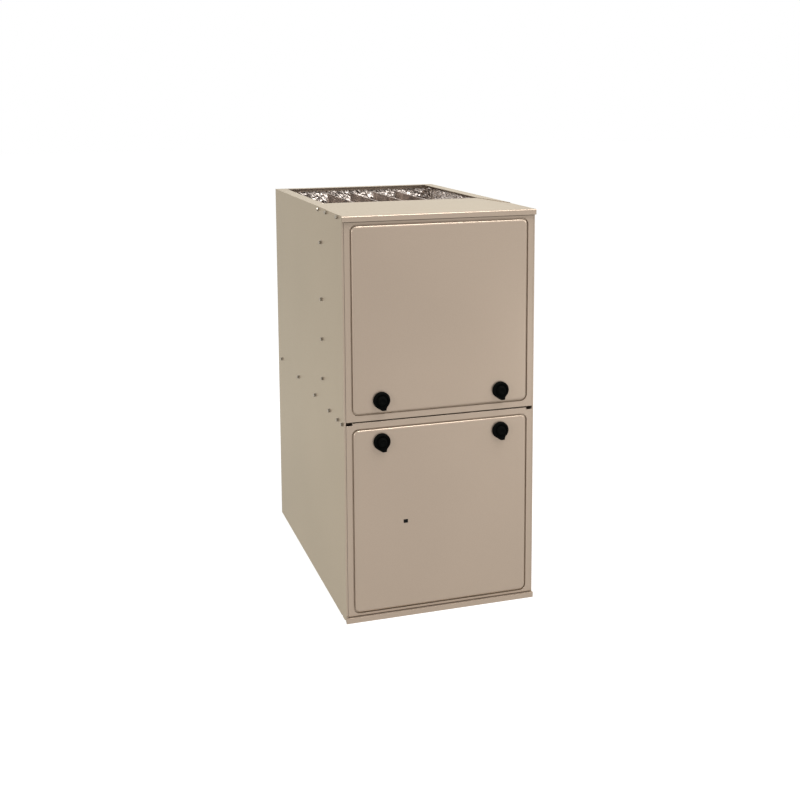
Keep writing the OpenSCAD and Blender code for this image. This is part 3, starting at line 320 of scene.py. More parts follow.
    def extrude(self, x: float = 0.0, y: float = 0.0, z: float = 0.0) -> "Bench":
        """Extrudes the selected region by a move in mm."""
        bpy.ops.mesh.extrude_region_move(TRANSFORM_OT_translate={"value": (x * MM, y * MM, z * MM)})
        return self

    def move(self, x: float = 0.0, y: float = 0.0, z: float = 0.0) -> "Bench":
        """Moves the selection, in mm."""
        bpy.ops.transform.translate(value=(x * MM, y * MM, z * MM))
        return self

    def inset(self, width: float, rise: float = 0.0) -> "Bench":
        """Insets the selected faces and raises the inner ones, in mm."""
        bpy.ops.mesh.inset(thickness=width * MM, depth=rise * MM)
        return self

    def scale(self, x: float = 1.0, y: float = 1.0, z: float = 1.0) -> "Bench":
        """Scales the selection about the z axis."""
        bpy.ops.transform.resize(value=(x, y, z), center_override=(0, 0, 0))
        return self

    def leave(self) -> "Bench":
        """Returns to object mode."""
        if self.piece.mode == "EDIT":
            bpy.ops.object.mode_set(mode="OBJECT")
        return self

    def clean(self) -> "Bench":
        """Merges doubles and turns the faces outwards."""
        self.enter("FACE")
        bpy.ops.mesh.select_all(action="SELECT")
        bpy.ops.mesh.remove_doubles(threshold=1e-5)
        bpy.ops.mesh.normals_make_consistent(inside=False)
        return self.leave()

    def soften(self, width: float, segments: int = 2, angle: float = 35.0) -> "Bench":
        """Rounds the sharp edges with an applied bevel, and keeps the flat faces evenly shaded."""
        self.leave()
        only(self.piece)
        bevel = self.piece.modifiers.new("edge_break", "BEVEL")
        bevel.width = width * MM
        bevel.segments = segments
        bevel.limit_method = "ANGLE"
        bevel.angle_limit = math.radians(angle)
        bpy.ops.object.modifier_apply(modifier=bevel.name)
        bpy.ops.object.shade_smooth_by_angle(angle=math.radians(angle))
        even = self.piece.modifiers.new("even_faces", "WEIGHTED_NORMAL")
        even.keep_sharp = True
        bpy.ops.object.modifier_apply(modifier=even.name)
        return self

    def unite(self, other: "Bench") -> "Bench":
        """Fuses another piece into this one."""
        return self.combine(other, "UNION")

    def cut(self, other: "Bench") -> "Bench":
        """Cuts another piece out of this one."""
        return self.combine(other, "DIFFERENCE")

    def combine(self, other: "Bench", operation: str) -> "Bench":
        """Applies a boolean with another piece, which is used up."""
        self.leave()
        only(self.piece)
        step = self.piece.modifiers.new("combine", "BOOLEAN")
        step.operation = operation
        step.object = other.piece
        bpy.ops.object.modifier_apply(modifier=step.name)
        bpy.data.objects.remove(other.piece)
        return self

    def join(self, *others: "Bench") -> "Bench":
        """Joins other pieces into this one."""
        self.leave()
        only(self.piece)
        for other in others:
            other.piece.select_set(True)
        bpy.ops.object.join()
        return self

    def copy(self, name: str, matrix: Matrix) -> "Bench":
        """Makes a copy with its own mesh, placed by a matrix."""
        twin = self.piece.copy()
        twin.data = self.piece.data.copy()
        return Bench(put_in_scene(twin), name).place(matrix)

    def finish(self, paint: "Finish", body: str, slot: str, *stands_for: str) -> bpy.types.Object:
        """Gives the piece its finish and body, and hides the CAD nodes that it stands for."""
        self.leave()
        self.piece.data.materials.clear()
        self.piece.data.materials.append(paint.material())
        return hand_over(self.piece, body, slot, *stands_for)


def hand_over(piece: bpy.types.Object, body: str, slot: str, *stands_for: str) -> bpy.types.Object:
    """Makes a piece ride on a body, hides the CAD nodes that it replaces, and reports it.

    Args:
        piece: The finished piece, at the origin.
        body: The CAD body that it moves with.
        slot: The record's material slot; not used.
        stands_for: CAD nodes that the piece replaces.

    Returns:
        The piece.
    """
    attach(piece, body)
    if stands_for:
        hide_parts(*stands_for)
    LOG.info("%s on %s: %d faces", piece.name, body, len(piece.data.polygons))
    return piece


# ---------------------------------------------------------------------------- finishes

# the part of a noise pattern's range that most of it lies in
MIDDLE: Span = (0.3, 0.7)


@dataclass(frozen=True)
class Finish:
    """A material that is built once and then shared."""

    name: str

    def material(self) -> bpy.types.Material:
        """Returns the built material."""
        known = bpy.data.materials.get(self.name)
        if known is not None:
            return known
        made = bpy.data.materials.new(self.name)
        tree = empty_tree(made)
        place = add_node(tree, "ShaderNodeTexCoord").outputs["Object"]
        shader = self.shade(tree, place)
        add_node(tree, "ShaderNodeOutputMaterial", {"Surface": shader.outputs[0]})
        return made

    def shade(self, tree: bpy.types.NodeTree, place: bpy.types.NodeSocket) -> bpy.types.Node:
        """Adds the surface shader.

        Args:
            tree: The new material's nodes.
            place: Object coordinates, in metres.

        Returns:
            The shader node.
        """
        raise NotImplementedError


@dataclass(frozen=True)
class BakedEnamel(Finish):
    """Polyester enamel baked on steel: an even satin colour with a fine metallic grain and a trace of orange peel."""

    colour: str = "AB9A8A"
    glance: str = "DAD4AE"
    metallic: float = 0.55
    roughness: float = 0.36
    coat: float = 0.15
    coat_roughness: float = 0.22
    drift_mm: float = 260.0
    grain_mm: float = 2.4
    peel_mm: float = 5.0
    peel: float = 0.12

    def shade(self, tree: bpy.types.NodeTree, place: bpy.types.NodeSocket) -> bpy.types.Node:
        """Adds the enamel's shader."""
        # the real flake is finer than a pixel, so its grain is drawn coarse enough to show
        grain = noise_of(tree, place, self.grain_mm, 2.0, Roughness=0.6)
        drift = remap(tree, noise_of(tree, place, self.drift_mm, 1.0), MIDDLE, (0.975, 1.02))
        fleck = remap(tree, grain, MIDDLE, (0.975, 1.025))
        level = add_node(tree, "ShaderNodeMath", {0: drift, 1: fleck}, operation="MULTIPLY").outputs[0]
        peel = noise_of(tree, place, self.peel_mm, 1.0)
        bump = add_node(tree, "ShaderNodeBump", {"Height": peel, "Strength": self.peel, "Distance": 0.0002})
        return add_node(tree, "ShaderNodeBsdfPrincipled", {
            "Base Color": shaded(tree, self.colour, level), "Metallic": self.metallic,
            "Roughness": remap(tree, grain, MIDDLE, (self.roughness - 0.03, self.roughness + 0.03)),
            "Normal": bump.outputs[0], "Specular Tint": linear(self.glance), "Coat Weight": self.coat,
            "Coat Roughness": self.coat_roughness})


@dataclass(frozen=True)
class RolledMetal(Finish):
    """Bare or plated metal: soft cloudy reflections, a crystal pattern or drawing lines, and a little dullness."""

    colour: str = "C6C8CA"
    roughness: float = 0.38
    cloud_mm: float = 60.0
    spangle_mm: float = 0.0
    line_mm: float = 0.0
    lines_along: Place = (1.0, 1.0, 1.0)
    reflection_brown: str = ""
    reflection_brown_mm: float = 120.0
    reflection_brown_share: float = 0.0

    def shade(self, tree: bpy.types.NodeTree, place: bpy.types.NodeSocket) -> bpy.types.Node:
        """Adds the metal's shader."""
        pattern = noise_of(tree, place, self.cloud_mm, 3.0)
        if self.spangle_mm:
            # hot dip zinc freezes in flat crystals that each shine a little differently
            crystal = add_node(tree, "ShaderNodeTexVoronoi",
                               {"Vector": place, "Scale": per_metre(self.spangle_mm), "Randomness": 1.0})
            grey = add_node(tree, "ShaderNodeRGBToBW", {"Color": crystal.outputs["Color"]})
            pattern = add_node(tree, "ShaderNodeMix", {"Factor": 0.6, 2: pattern, 3: grey.outputs[0]}).outputs[0]
        if self.line_mm:
            stretched = add_node(tree, "ShaderNodeMapping", {"Vector": place, "Scale": self.lines_along})
            lines = noise_of(tree, stretched.outputs[0], self.line_mm, 2.0)
            pattern = add_node(tree, "ShaderNodeMix", {"Factor": 0.5, 2: pattern, 3: lines}).outputs[0]
        colour = shaded(tree, self.colour, remap(tree, pattern, (0.25, 0.75), (0.86, 1.08)))
        # painted reflection: dark brown blotches mixed into the colour stand in for the brownish surroundings that the
        # metal reflects
        if self.reflection_brown:
            share = remap(tree, noise_of(tree, place, self.reflection_brown_mm, 4.0), (0.35, 0.7), (0.0, self.reflection_brown_share))
            colour = add_node(tree, "ShaderNodeMix", {0: share, 6: colour, 7: linear(self.reflection_brown)},
                              data_type="RGBA").outputs[2]
        rough = remap(tree, pattern, (0.25, 0.75), (self.roughness - 0.08, self.roughness + 0.08))
        bump = add_node(tree, "ShaderNodeBump", {"Height": pattern, "Strength": 0.08, "Distance": 0.0003})
        return add_node(tree, "ShaderNodeBsdfPrincipled", {
            "Base Color": colour, "Metallic": 1.0, "Roughness": rough, "Normal": bump.outputs[0]})


@dataclass(frozen=True)
class Moulded(Finish):
    """Moulded plastic, rubber, ceramic or lacquer: one colour with a fine texture that breaks up the gloss."""

    colour: str = "1A1C1A"
    roughness: float = 0.45
    texture_mm: float = 1.2
    patch_mm: float = 24.0
    relief: float = 0.15
    mottle: float = 0.06
    specular: float = 0.5

    def shade(self, tree: bpy.types.NodeTree, place: bpy.types.NodeSocket) -> bpy.types.Node:
        """Adds the moulding's shader."""
        skin = noise_of(tree, place, self.texture_mm, 2.0)
        patch = noise_of(tree, place, self.patch_mm, 3.0)
        tint = shaded(tree, self.colour, remap(tree, patch, MIDDLE, (1 - self.mottle, 1 + self.mottle)))
        rough = remap(tree, skin, MIDDLE, (self.roughness - 0.05, self.roughness + 0.07))
        bump = add_node(tree, "ShaderNodeBump", {"Height": skin, "Strength": self.relief, "Distance": 0.0002})
        return add_node(tree, "ShaderNodeBsdfPrincipled", {
            "Base Color": tint, "Roughness": rough, "Normal": bump.outputs[0], "Specular IOR Level": self.specular})


@dataclass(frozen=True)
class FoilFacing(Finish):
    """Kraft backed aluminium foil: bright facets, with painted shade that darkens it along the creases where they fold
    over.
    """

    colour: str = "E2D8D0"
    crease_shade: str = "6A5A50"
    roughness: float = 0.38
    fold_mm: float = 6.0
    wrinkle_mm: float = 5.0
    relief: float = 0.8

    def shade(self, tree: bpy.types.NodeTree, place: bpy.types.NodeSocket) -> bpy.types.Node:
        """Adds the foil's shader."""
        folds = add_node(tree, "ShaderNodeTexVoronoi", {"Vector": place, "Scale": per_metre(self.fold_mm)},
                         feature="DISTANCE_TO_EDGE")
        # painted shade: along the crease lines the colour darkens towards the dark crease colour, where shade falls in
        # the folds
        line = remap(tree, folds.outputs["Distance"], (0.0, 0.12), (0.7, 0.0))
        colour = add_node(tree, "ShaderNodeMix", {0: line, 6: linear(self.colour), 7: linear(self.crease_shade)},
                          data_type="RGBA")
        small = noise_of(tree, place, self.wrinkle_mm, 3.0)
        bump = add_node(tree, "ShaderNodeBump", {"Height": small, "Strength": self.relief, "Distance": 0.002})
        return add_node(tree, "ShaderNodeBsdfPrincipled", {
            "Base Color": colour.outputs[2], "Metallic": 1.0, "Roughness": self.roughness,
            "Normal": bump.outputs[0]})


def wire_cover(tone: str, colour: str, roughness: float = 0.4) -> Moulded:
    """Returns the glossy insulation of a wire of one colour."""
    return Moulded(f"{tone}_wire_insulation", colour=colour, roughness=roughness, texture_mm=4.0, relief=0.05)


class Paints(Enum):
    """The finishes of this furnace, each named after its real material and after any light or shade painted into its
    colour.
    """

    CASING = BakedEnamel("satin_baked_enamel_on_steel")
    GALVANISED = RolledMetal("galvanised_sheet_steel", colour="BFC2C4", roughness=0.4, spangle_mm=9)
    FOIL = FoilFacing("aluminium_foil_facing")
    # the heat cells' brown colour and dark brown blotches are painted reflection of the brownish surroundings
    CELL = RolledMetal("aluminised_steel_heat_tinted", colour="B5A396", roughness=0.42, reflection_brown="4C3B31",
                       reflection_brown_mm=55, reflection_brown_share=0.85)
    WHEEL = RolledMetal("galvanised_wheel_strip", colour="B9BCBE", roughness=0.36, spangle_mm=5)
    # painted shade: the screws' zinc is darkened to a brownish grey for the shadow round their heads
    SCREW = RolledMetal("aged_zinc_on_screws", colour="8F877A", roughness=0.33)
    ZINC = RolledMetal("zinc_plated_steel", colour="B9B8B2", roughness=0.36)
    CASTING = RolledMetal("die_cast_aluminium", colour="A3A5A6", roughness=0.5)
    CAN = RolledMetal("drawn_aluminium_can", colour="C8CACB", roughness=0.28, line_mm=3, lines_along=(1, 1, 0.05))
    KNOB = Moulded("moulded_phenolic_knob", colour="060706", roughness=0.7, texture_mm=1.0, specular=0.03)
    HOUSING = Moulded("glass_filled_polypropylene", colour="1C1D1E", roughness=0.5, texture_mm=1.6)
    RUBBER = Moulded("nitrile_rubber", colour="151515", roughness=0.72, texture_mm=1.5, specular=0.3)
    PIPE = Moulded("extruded_rigid_vinyl_pipe", colour="E4E3DC", roughness=0.3, texture_mm=4.0, relief=0.05)
    MOTOR = Moulded("baked_black_motor_enamel", colour="232425", roughness=0.34, texture_mm=1.6, relief=0.2)
    MANIFOLD = Moulded("black_lacquer_on_pipe", colour="1E1F20", roughness=0.3, texture_mm=2.2)
    VALVE_KNOB = Moulded("moulded_blue_nylon", colour="1D3F86", roughness=0.35)
    CERAMIC = Moulded("steatite_ceramic", colour="E6E1D3", roughness=0.6, texture_mm=0.8)
    SWITCH = Moulded("moulded_grey_thermoplastic", colour="B0AB9D", roughness=0.45)
    BUTTON = Moulded("moulded_red_nylon", colour="A8201B", roughness=0.3)
    BOARD = Moulded("solder_mask_on_fibreglass", colour="1F5A34", roughness=0.32, texture_mm=3.0, mottle=0.15)
    PLUNGER = Moulded("white_acetal", colour="E4E4DE", roughness=0.3)
    RELAY = Moulded("relay_thermoplastic", colour="20242A", roughness=0.35)
    FUSE = Moulded("tinted_fuse_plastic", colour="6A4A9C", roughness=0.25, relief=0.05)
    CORE = RolledMetal("varnished_core_laminations", colour="5A5C5E", roughness=0.42, line_mm=2,
                       lines_along=(0.05, 1, 0.05))
    TAPE = Moulded("amber_coil_tape", colour="B98A3A", roughness=0.35, texture_mm=3.0)
    WIRE_RED = wire_cover("red", "B02A20")
    WIRE_BLACK = wire_cover("black", "191919", 0.42)
    WIRE_WHITE = wire_cover("white", "DDDCD4", 0.42)
    WIRE_BLUE = wire_cover("blue", "27509C")
    WIRE_YELLOW = wire_cover("yellow", "D9B62C")
    WIRE_GREEN = wire_cover("green", "2B7A3C")
    # painted shade: the sight glass is an opaque near-black for the dark inside seen through the lens
    WINDOW = Moulded("polycarbonate_lens_painted_shade", colour="0C0B0A", roughness=0.3, texture_mm=6.0, relief=0.02, specular=0.1)

    def material(self) -> bpy.types.Material:
        """Returns the finish's material."""
        return self.value.material()


SLOT_PAINT: dict[str, Paints] = {
    "casing_paint": Paints.CASING,
    "galvanised_steel": Paints.GALVANISED,
    "foil_liner": Paints.FOIL,
    "aluminised_steel": Paints.CELL,
    "black_plastic": Paints.HOUSING,
    "knob_plastic": Paints.KNOB,
    "rubber_black": Paints.RUBBER,
    "pvc_white": Paints.PIPE,
    "wheel_steel": Paints.WHEEL,
    "motor_paint": Paints.MOTOR,
    "manifold_paint": Paints.MANIFOLD,
    "cast_aluminium": Paints.CASTING,
    "valve_knob_plastic": Paints.VALVE_KNOB,
    "ceramic_white": Paints.CERAMIC,
    "switch_body": Paints.SWITCH,
    "button_red": Paints.BUTTON,
    "board_green": Paints.BOARD,
    "capacitor_can": Paints.CAN,
    "plunger_white": Paints.PLUNGER,
    "screw_zinc": Paints.ZINC,
    "sight_window": Paints.WINDOW,
}
PAINT_SLOT: dict[Paints, str] = {paint: slot for slot, paint in SLOT_PAINT.items()} | {
    Paints.RELAY: "black_plastic", Paints.FUSE: "valve_knob_plastic", Paints.CORE: "motor_paint",
    Paints.TAPE: "switch_body", Paints.WIRE_RED: "button_red", Paints.WIRE_BLACK: "rubber_black",
    Paints.WIRE_WHITE: "plunger_white", Paints.WIRE_BLUE: "valve_knob_plastic",
    Paints.WIRE_YELLOW: "switch_body", Paints.WIRE_GREEN: "board_green",
}


# ---------------------------------------------------------------------------- the frame's own parts


@dataclass
class Carried:
    """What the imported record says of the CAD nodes: their bodies and slots."""

    body_of: dict[str, str] = field(default_factory=dict)
    slot_of: dict[str, str] = field(default_factory=dict)
    flat_angle: float = 1.5

    def __post_init__(self) -> None:
        """Reads the record."""
        record = frame["record"]
        for body, nodes in record["behaviour"]["bodies"].items():
            self.body_of.update({node: body for node in nodes})
        self.slot_of.update({row["node"]: row["material_slot"] for row in record["subparts"]})

    def paint_all(self) -> None:
        """Gives every CAD node the finish of its slot."""
        for name, node in frame["nodes"].items():
            node.data.materials.clear()
            node.data.materials.append(SLOT_PAINT[self.slot_of[name]].material())

    def folded_copy(self, node: str, name: str, width: float, segments: int = 2, angle: float = 35.0,
                    reshape: Callable[["Bench"], None] | None = None) -> bpy.types.Object:
        """Stands in for a CAD node with a copy whose sharp edges are rounded as folded sheet is.

        Args:
            node: The CAD node.
            name: The new piece's name.
            width: The edge radius in mm.
            segments: Steps across each rounded edge.
            angle: Edges that turn by more than this many degrees are rounded.
            reshape: What is done to the mesh before its edges are rounded.

        Returns:
            The new piece.
        """
        twin = bpy.data.objects.new(name, frame["nodes"][node].data.copy())
        bench = Bench(put_in_scene(twin), name).clean()
        bench.enter("FACE")
        bpy.ops.mesh.select_all(action="SELECT")
        bpy.ops.mesh.dissolve_limited(angle_limit=math.radians(self.flat_angle))
        if reshape:
            reshape(bench.leave())
        bench.soften(width, segments, angle)
        paint = SLOT_PAINT[self.slot_of[node]]
        return bench.finish(paint, self.body_of[node], self.slot_of[node], node)


@dataclass
class Casing:
    """The painted sheet metal: sides, back, top plate, sill and doors, with folded edges."""

    parts: Carried
    corner: float = 12.0
    shoulder: float = 3.5
    round_in: float = 1.7
    rise: float = 4.2
    fold_mm: dict[str, float] = field(default_factory=lambda: {
        "casing_left_side": 0.35, "casing_right_side": 0.35, "casing_back": 0.35, "top_plate": 0.25,
        "casing_rails": 0.3, "base_rail": 0.35, "upper_door": 0.35, "lower_door": 0.35,
    })

    def build(self) -> None:
        """Builds each folded part."""
        for node, width in self.fold_mm.items():
            reshape = self.spread_shoulder if node.endswith("_door") else None
            self.parts.folded_copy(node, f"{node}_folded", width, reshape=reshape)

    def spread_shoulder(self, bench: Bench) -> None:
        """Widens the rounded shoulder of a door's raised field inwards, to twice its height.

        Args:
            bench: The door's bench.
        """
        door = bench.piece
        low, high = (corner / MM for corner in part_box(door.name.removesuffix("_folded")))
        front = [v.co / MM for v in door.data.vertices if v.co.y / MM < low.y + 0.05]
        wide = [v.x for v in front]
        tall = [v.z for v in front]
        inside = self.shoulder + self.round_in
        size = Vector((max(wide) - min(wide), max(tall) - min(tall))) / 2
        middle = Vector(((low.x + high.x) / 2, (max(tall) + min(tall)) / 2))
        straight = size - Vector((self.corner, self.corner)) + Vector((self.shoulder, self.shoulder))
        for vert in door.data.vertices:
            spot = Vector((vert.co.x / MM, vert.co.z / MM)) - middle
            beyond = Vector([max(abs(spot[i]) - straight[i], 0.0) for i in range(2)])
            depth = self.corner - beyond.length
            if vert.co.y / MM > low.y + self.rise or not 0.0 < depth < inside or beyond.length < 1e-6:
                continue
            shift = min(depth, self.shoulder)
            pull = beyond.normalized() * shift
            vert.co.x -= math.copysign(pull.x, spot.x) * MM
            vert.co.z -= math.copysign(pull.y, spot.y) * MM


@dataclass
class Knobs:
    """Quarter turn door knobs with a finger spur at five o'clock, each on its own latch body."""

    radius: float = 19.0
    height: float = 13.0
    seat: float = 0.3
    flange: float = 5.0
    spur: tuple[tuple[float, float], ...] = (
        (-9.4, -16.3), (-4.0, -20.2), (0.6, -23.1), (4.0, -23.5), (10.4, -23.0), (10.3, -20.6), (10.9, -17.6),
        (12.6, -14.2), (6.0, -8.0), (-6.0, -8.0),
    )

    def build(self) -> None:
        """Models one knob and sets a copy on each latch."""
        first = self.model()
        for joint in frame["joints"]:
            body = joint["child"]
            if not body.endswith("_latch"):
                continue
            node = body.replace("_latch", "_knob")
            low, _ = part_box(node)
            x, _, z = joint["pos_m"]
            stand = Matrix.Translation((x, low.y + self.height * MM, z)) @ turned(90, "X")
            first.copy(f"{node}_moulded", stand).finish(Paints.KNOB, body, "knob_plastic", node)
        bpy.data.objects.remove(first.piece)

    def model(self) -> Bench:
        """Shapes the knob at the origin, its face up.

        Returns:
            The knob's bench.
        """
        r, top = self.radius, self.height
        disc = Bench.lathe("knob_blank", [
            (r - 0.4, self.seat), (r, self.seat + 0.4), (r, self.flange), (r - 0.4, self.flange + 1.1),
            (r - 1.5, self.flange + 2.3), (r - 3.0, self.flange + 2.9), (r - 5.0, 8.0), (r - 5.8, 6.6), (r - 8.4, 6.6),
            (r - 9.2, 7.4), (r - 9.8, top - 1.6), (r - 10.6, top - 0.5), (r - 11.8, top), (r - 14.0, top),
            (r - 14.6, top - 0.5), (0.5, top - 0.8),
        ], 96)
        spur = Bench.outline("knob_spur", self.spur, self.seat, self.flange + 0.3).soften(0.5, 2, 50)
        disc.unite(spur)
        only(disc.piece)
        bpy.ops.object.shade_smooth_by_angle(angle=math.radians(32))
        return disc


@dataclass
class Screws:
    """Hex washer head screws, one set on each screw of the CAD."""

    washer: float = 5.0
    head: float = 4.0
    shank: float = 2.25
    washer_h: float = 0.8
    head_h: float = 4.0
    shank_h: float = 2.3
    rim: float = 0.8
    dish: float = 0.6
    sunk: float = 0.3
    spin_step: float = 37.0
    spin_reach: float = 6.0

    def build(self) -> None:
        """Models one screw, copies it to each place, and joins them by side of the casing."""
        first = self.model()
        sets: dict[str, list[Bench]] = {"left": [], "right": [], "back": []}
        for low, high in self.islands("casing_screws"):
            middle, size = (low + high) / 2, high - low
            if size.y < min(size.x, size.z):
                side, turn = "back", turned(-90, "X")
                spot = Vector((middle.x, high.y - self.head_h * MM, middle.z))
            else:
                side, sign, edge = ("left", -1, low.x) if middle.x < 0 else ("right", 1, high.x)
                turn = turned(90 * sign, "Y")
                spot = Vector((edge - sign * self.head_h * MM, middle.y, middle.z))
            spin = Matrix.Rotation(noise.noise(spot * self.spin_step) * self.spin_reach, 4, "Z")
            name = f"screw_{side}_{len(sets[side])}"
            sets[side].append(first.copy(name, Matrix.Translation(spot) @ turn @ spin))
        for side, (head, *rest) in sets.items():
            joined = Bench(head.join(*rest).piece, f"hex_washer_screws_{side}")
            joined.finish(Paints.SCREW, "casing", "screw_zinc", "casing_screws")
        bpy.data.objects.remove(first.piece)

    def model(self) -> Bench:
        """Shapes one screw head at the origin, pointing up, with a short shank under it.

        Returns:
            The screw's bench.
        """
        slim = self.shank / self.washer
        disc = Bench.circle("screw_blank", self.washer, 20, -self.shank_h).whole()
        disc.scale(slim, slim).extrude(z=self.shank_h).extrude()
        disc.scale(1 / slim, 1 / slim).extrude(z=self.washer_h * 0.5).inset(self.rim, self.washer_h * 0.4)
        hexagon = Bench.circle("screw_hex", self.head, 6, self.sunk).whole().extrude(z=self.head_h - self.sunk)
        hexagon.faces(lambda centre, normal: centre.z > self.head_h - 0.1).inset(self.rim, -self.dish)
        return disc.clean().join(hexagon.clean()).soften(0.12, 1, 40)

    @staticmethod
    def islands(node: str) -> list[tuple[Vector, Vector]]:
        """Finds the separate solids of a CAD node.

        Args:
            node: The CAD node.

        Returns:
            The lowest and highest corner of each solid, in metres.
        """
        mesh = bmesh.new()
        mesh.from_mesh(frame["nodes"][node].data)
        bmesh.ops.remove_doubles(mesh, verts=mesh.verts, dist=1e-6)
        seen: set[bmesh.types.BMVert] = set()
        found = []
        for start in mesh.verts:
            if start in seen:
                continue
            seen.add(start)
            group, front = [start], [start]
            while front:
                vert = front.pop()
                for edge in vert.link_edges:
                    other = edge.other_vert(vert)
                    if other not in seen:
                        seen.add(other)
                        group.append(other)
                        front.append(other)
            low = Vector([min(v.co[i] for v in group) for i in range(3)])
            high = Vector([max(v.co[i] for v in group) for i in range(3)])
            found.append((low, high))
        mesh.free()
        return found


@dataclass
class FoilLiners:
    """Crinkled foil over glass fibre on the heat exchanger compartment's sides and back."""

    facet: float = 3.6
    crumple: float = 3.2
    crumple_mm: float = 17.0
    crumple_gain: float = 2.2
    wrinkle: float = 1.7
    wrinkle_mm: float = 5.5
    wrinkle_gain: float = 2.4
    sway: float = 0.5
    margin: float = 0.4
    rim_m: float = 1e-4
    seed: int = 11

    def build(self) -> None:
        """Builds the three liners, with a fixed seed because noise_vector is otherwise seeded by the clock."""
        noise.seed_set(self.seed)
        for node, axis, side in (("left_insulation", 0, 1), ("right_insulation", 0, -1), ("back_insulation", 1, -1)):
            low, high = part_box(node)
            self.liner(node, low / MM, high / MM, axis, side)

    def liner(self, node: str, low: Vector, high: Vector, axis: int, side: int) -> None:
        """Builds one liner whose inner face is crumpled.

        Args:
            node: The CAD node that it stands for.
            low: The node's lowest corner, in mm.
            high: Its highest corner, in mm.
            axis: The axis that the liner is thin along.
            side: Which way the inner face looks along that axis.
        """
        bench = Bench.cube(f"{node}_foil", low, high)
        bench.enter("EDGE")
        mesh = bmesh.from_edit_mesh(bench.piece.data)
        across = 1 - axis
        for way, reach in ((across, 0.01), (2, 0.1)):
            edges = [e for e in mesh.edges if abs((e.verts[0].co - e.verts[1].co)[way]) > reach]
            cuts = int((high[way] - low[way]) / self.facet)
            bmesh.ops.subdivide_edges(mesh, edges=edges, cuts=cuts, use_grid_fill=True)
        inner = (high[axis] if side > 0 else low[axis]) * MM
        for vert in mesh.verts:
            if abs(vert.co[axis] - inner) > 1e-5:
                continue
            spot = vert.co.copy()
            big = noise.noise_vector(spot * per_metre(self.crumple_mm))
            fine = noise.noise_vector(spot * per_metre(self.wrinkle_mm) + Vector((7, 3, 1)))
            back = abs(big.x) * self.crumple * self.crumple_gain + abs(fine.x) * self.wrinkle * self.wrinkle_gain
            vert.co[axis] = inner - side * (min(back, self.crumple + self.wrinkle) + self.margin) * MM
            for way, push in ((across, fine.y), (2, fine.z)):
                if low[way] * MM + self.rim_m < spot[way] < high[way] * MM - self.rim_m:
                    vert.co[way] += push * self.facet * self.sway * MM
        bmesh.update_edit_mesh(bench.piece.data)
        bench.clean()
        only(bench.piece)
        bpy.ops.object.shade_flat()
        bench.finish(Paints.FOIL, "casing", "foil_liner", node)


# ---------------------------------------------------------------------------- inner parts


def facing_front(x: float, y: float, z: float, spin: float = 0.0) -> Matrix:
    """Returns the place, in mm, that turns a piece modelled with its top up to look out of the front.

    Args:
        x: Place across the casing.
        y: Place along the depth.
        z: Height.
        spin: A turn about the piece's own axis, in degrees.

    Returns:
        The matrix, in metres.
    """
    return moved(x, y, z) @ turned(90, "X") @ turned(spin)


def facing_right(x: float, y: float, z: float, spin: float = 0.0) -> Matrix:
    """Returns the place, in mm, that turns a piece modelled with its top up to look to the right."""
    return moved(x, y, z) @ turned(90, "Y") @ turned(spin)


def mirrored(half: Sequence[Span]) -> list[Span]:
    """Returns a lathe profile whose lower half mirrors the upper half that is given."""
    return [*((wide, -high) for wide, high in reversed(half)), *half]


# the board's pin headers and spade terminals, in mm from its left edge, lower edge and middle height
HEADERS: Span = (14.4, 76.4)
HEADER_PINS = 10
PIN_PITCH = 4.75
PIN_UP = 12.0
TAB_START = 13.0
TAB_PITCH = 9.0
TAB_ROWS: Span = (5.5, -8.0)


@dataclass
class Shop:
    """Shared steps of the inner parts: where a CAD node lies, and handing over joined benches."""

    parts: Carried

    def span(self, node: str) -> tuple[Vector, Vector, Vector]:
        """Returns a node's lowest corner, highest corner and middle, in mm."""
        low, high = (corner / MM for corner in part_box(node))
        return low, high, (low + high) / 2

    def gather(self, name: str, paint: Paints, benches: Sequence[Bench], *stands_for: str,
               body: str = "casing") -> None:
        """Joins benches into one piece and hands it over.

        Args:
            name: The piece's name.
            paint: Its finish, which also gives its slot.
            benches: What it is joined from.
            stands_for: CAD nodes that it replaces.
            body: The body that it rides on.
        """
        first, *rest = benches
        if rest:
            first.join(*rest)
        Bench(first.piece, name).finish(paint, body, PAINT_SLOT[paint], *stands_for)

    def spread(self, blank: Bench, places: Sequence[Matrix]) -> list[Bench]:
        """Puts a copy of a blank at each place and removes the blank."""
        copies = [blank.copy(f"{blank.piece.name}_{number}", place) for number, place in enumerate(places)]
        bpy.data.objects.remove(blank.piece)
        return copies

    def pierce(self, shell: Bench, blank: Bench, number: int, radius: float) -> Bench:
        """Cuts a ring of openings round the z axis into a shell.

        Args:
            shell: What is cut.
            blank: The cutter, at the middle, which is used up.
            number: How many openings the ring has.
            radius: How far out they lie, in mm.

        Returns:
            The shell.
        """
        step = 360 / number
        first, *rest = self.spread(blank, [turned(step * k) @ moved(0, radius, 0) for k in range(number)])
        return shell.cut(first.join(*rest))


@dataclass
class Fittings(Shop):
    """Inner parts whose solids have the right form, given the edges that folds, moulds and castings leave."""

    edges: dict[float, str] = field(default_factory=lambda: {
        0.25: "blower_deck cell_panel control_panel blower_housing motor_mount junction_box limit_switch "
              "rollout_switch rollout_button upper_left_cam upper_right_cam lower_left_cam lower_right_cam "
              "door_switch_plunger sight_glass vent_pipe igniter flame_sensor",
        0.15: "blower_wheel inducer_wheel burner_rack secondary_coil",
        0.8: "coupling_box collector_box drain_coupling inducer_housing condensate_trap gas_valve gas_manifold "
             "door_switch pressure_hose pipe_couplings entry_grommets",
        0.5: "heat_cell_1 heat_cell_2 heat_cell_3 heat_cell_4",
    })

    def build(self) -> None:
        """Builds each eased part."""
        for width, nodes in self.edges.items():
            for node in nodes.split():
                self.parts.folded_copy(node, f"{node}_eased", width)


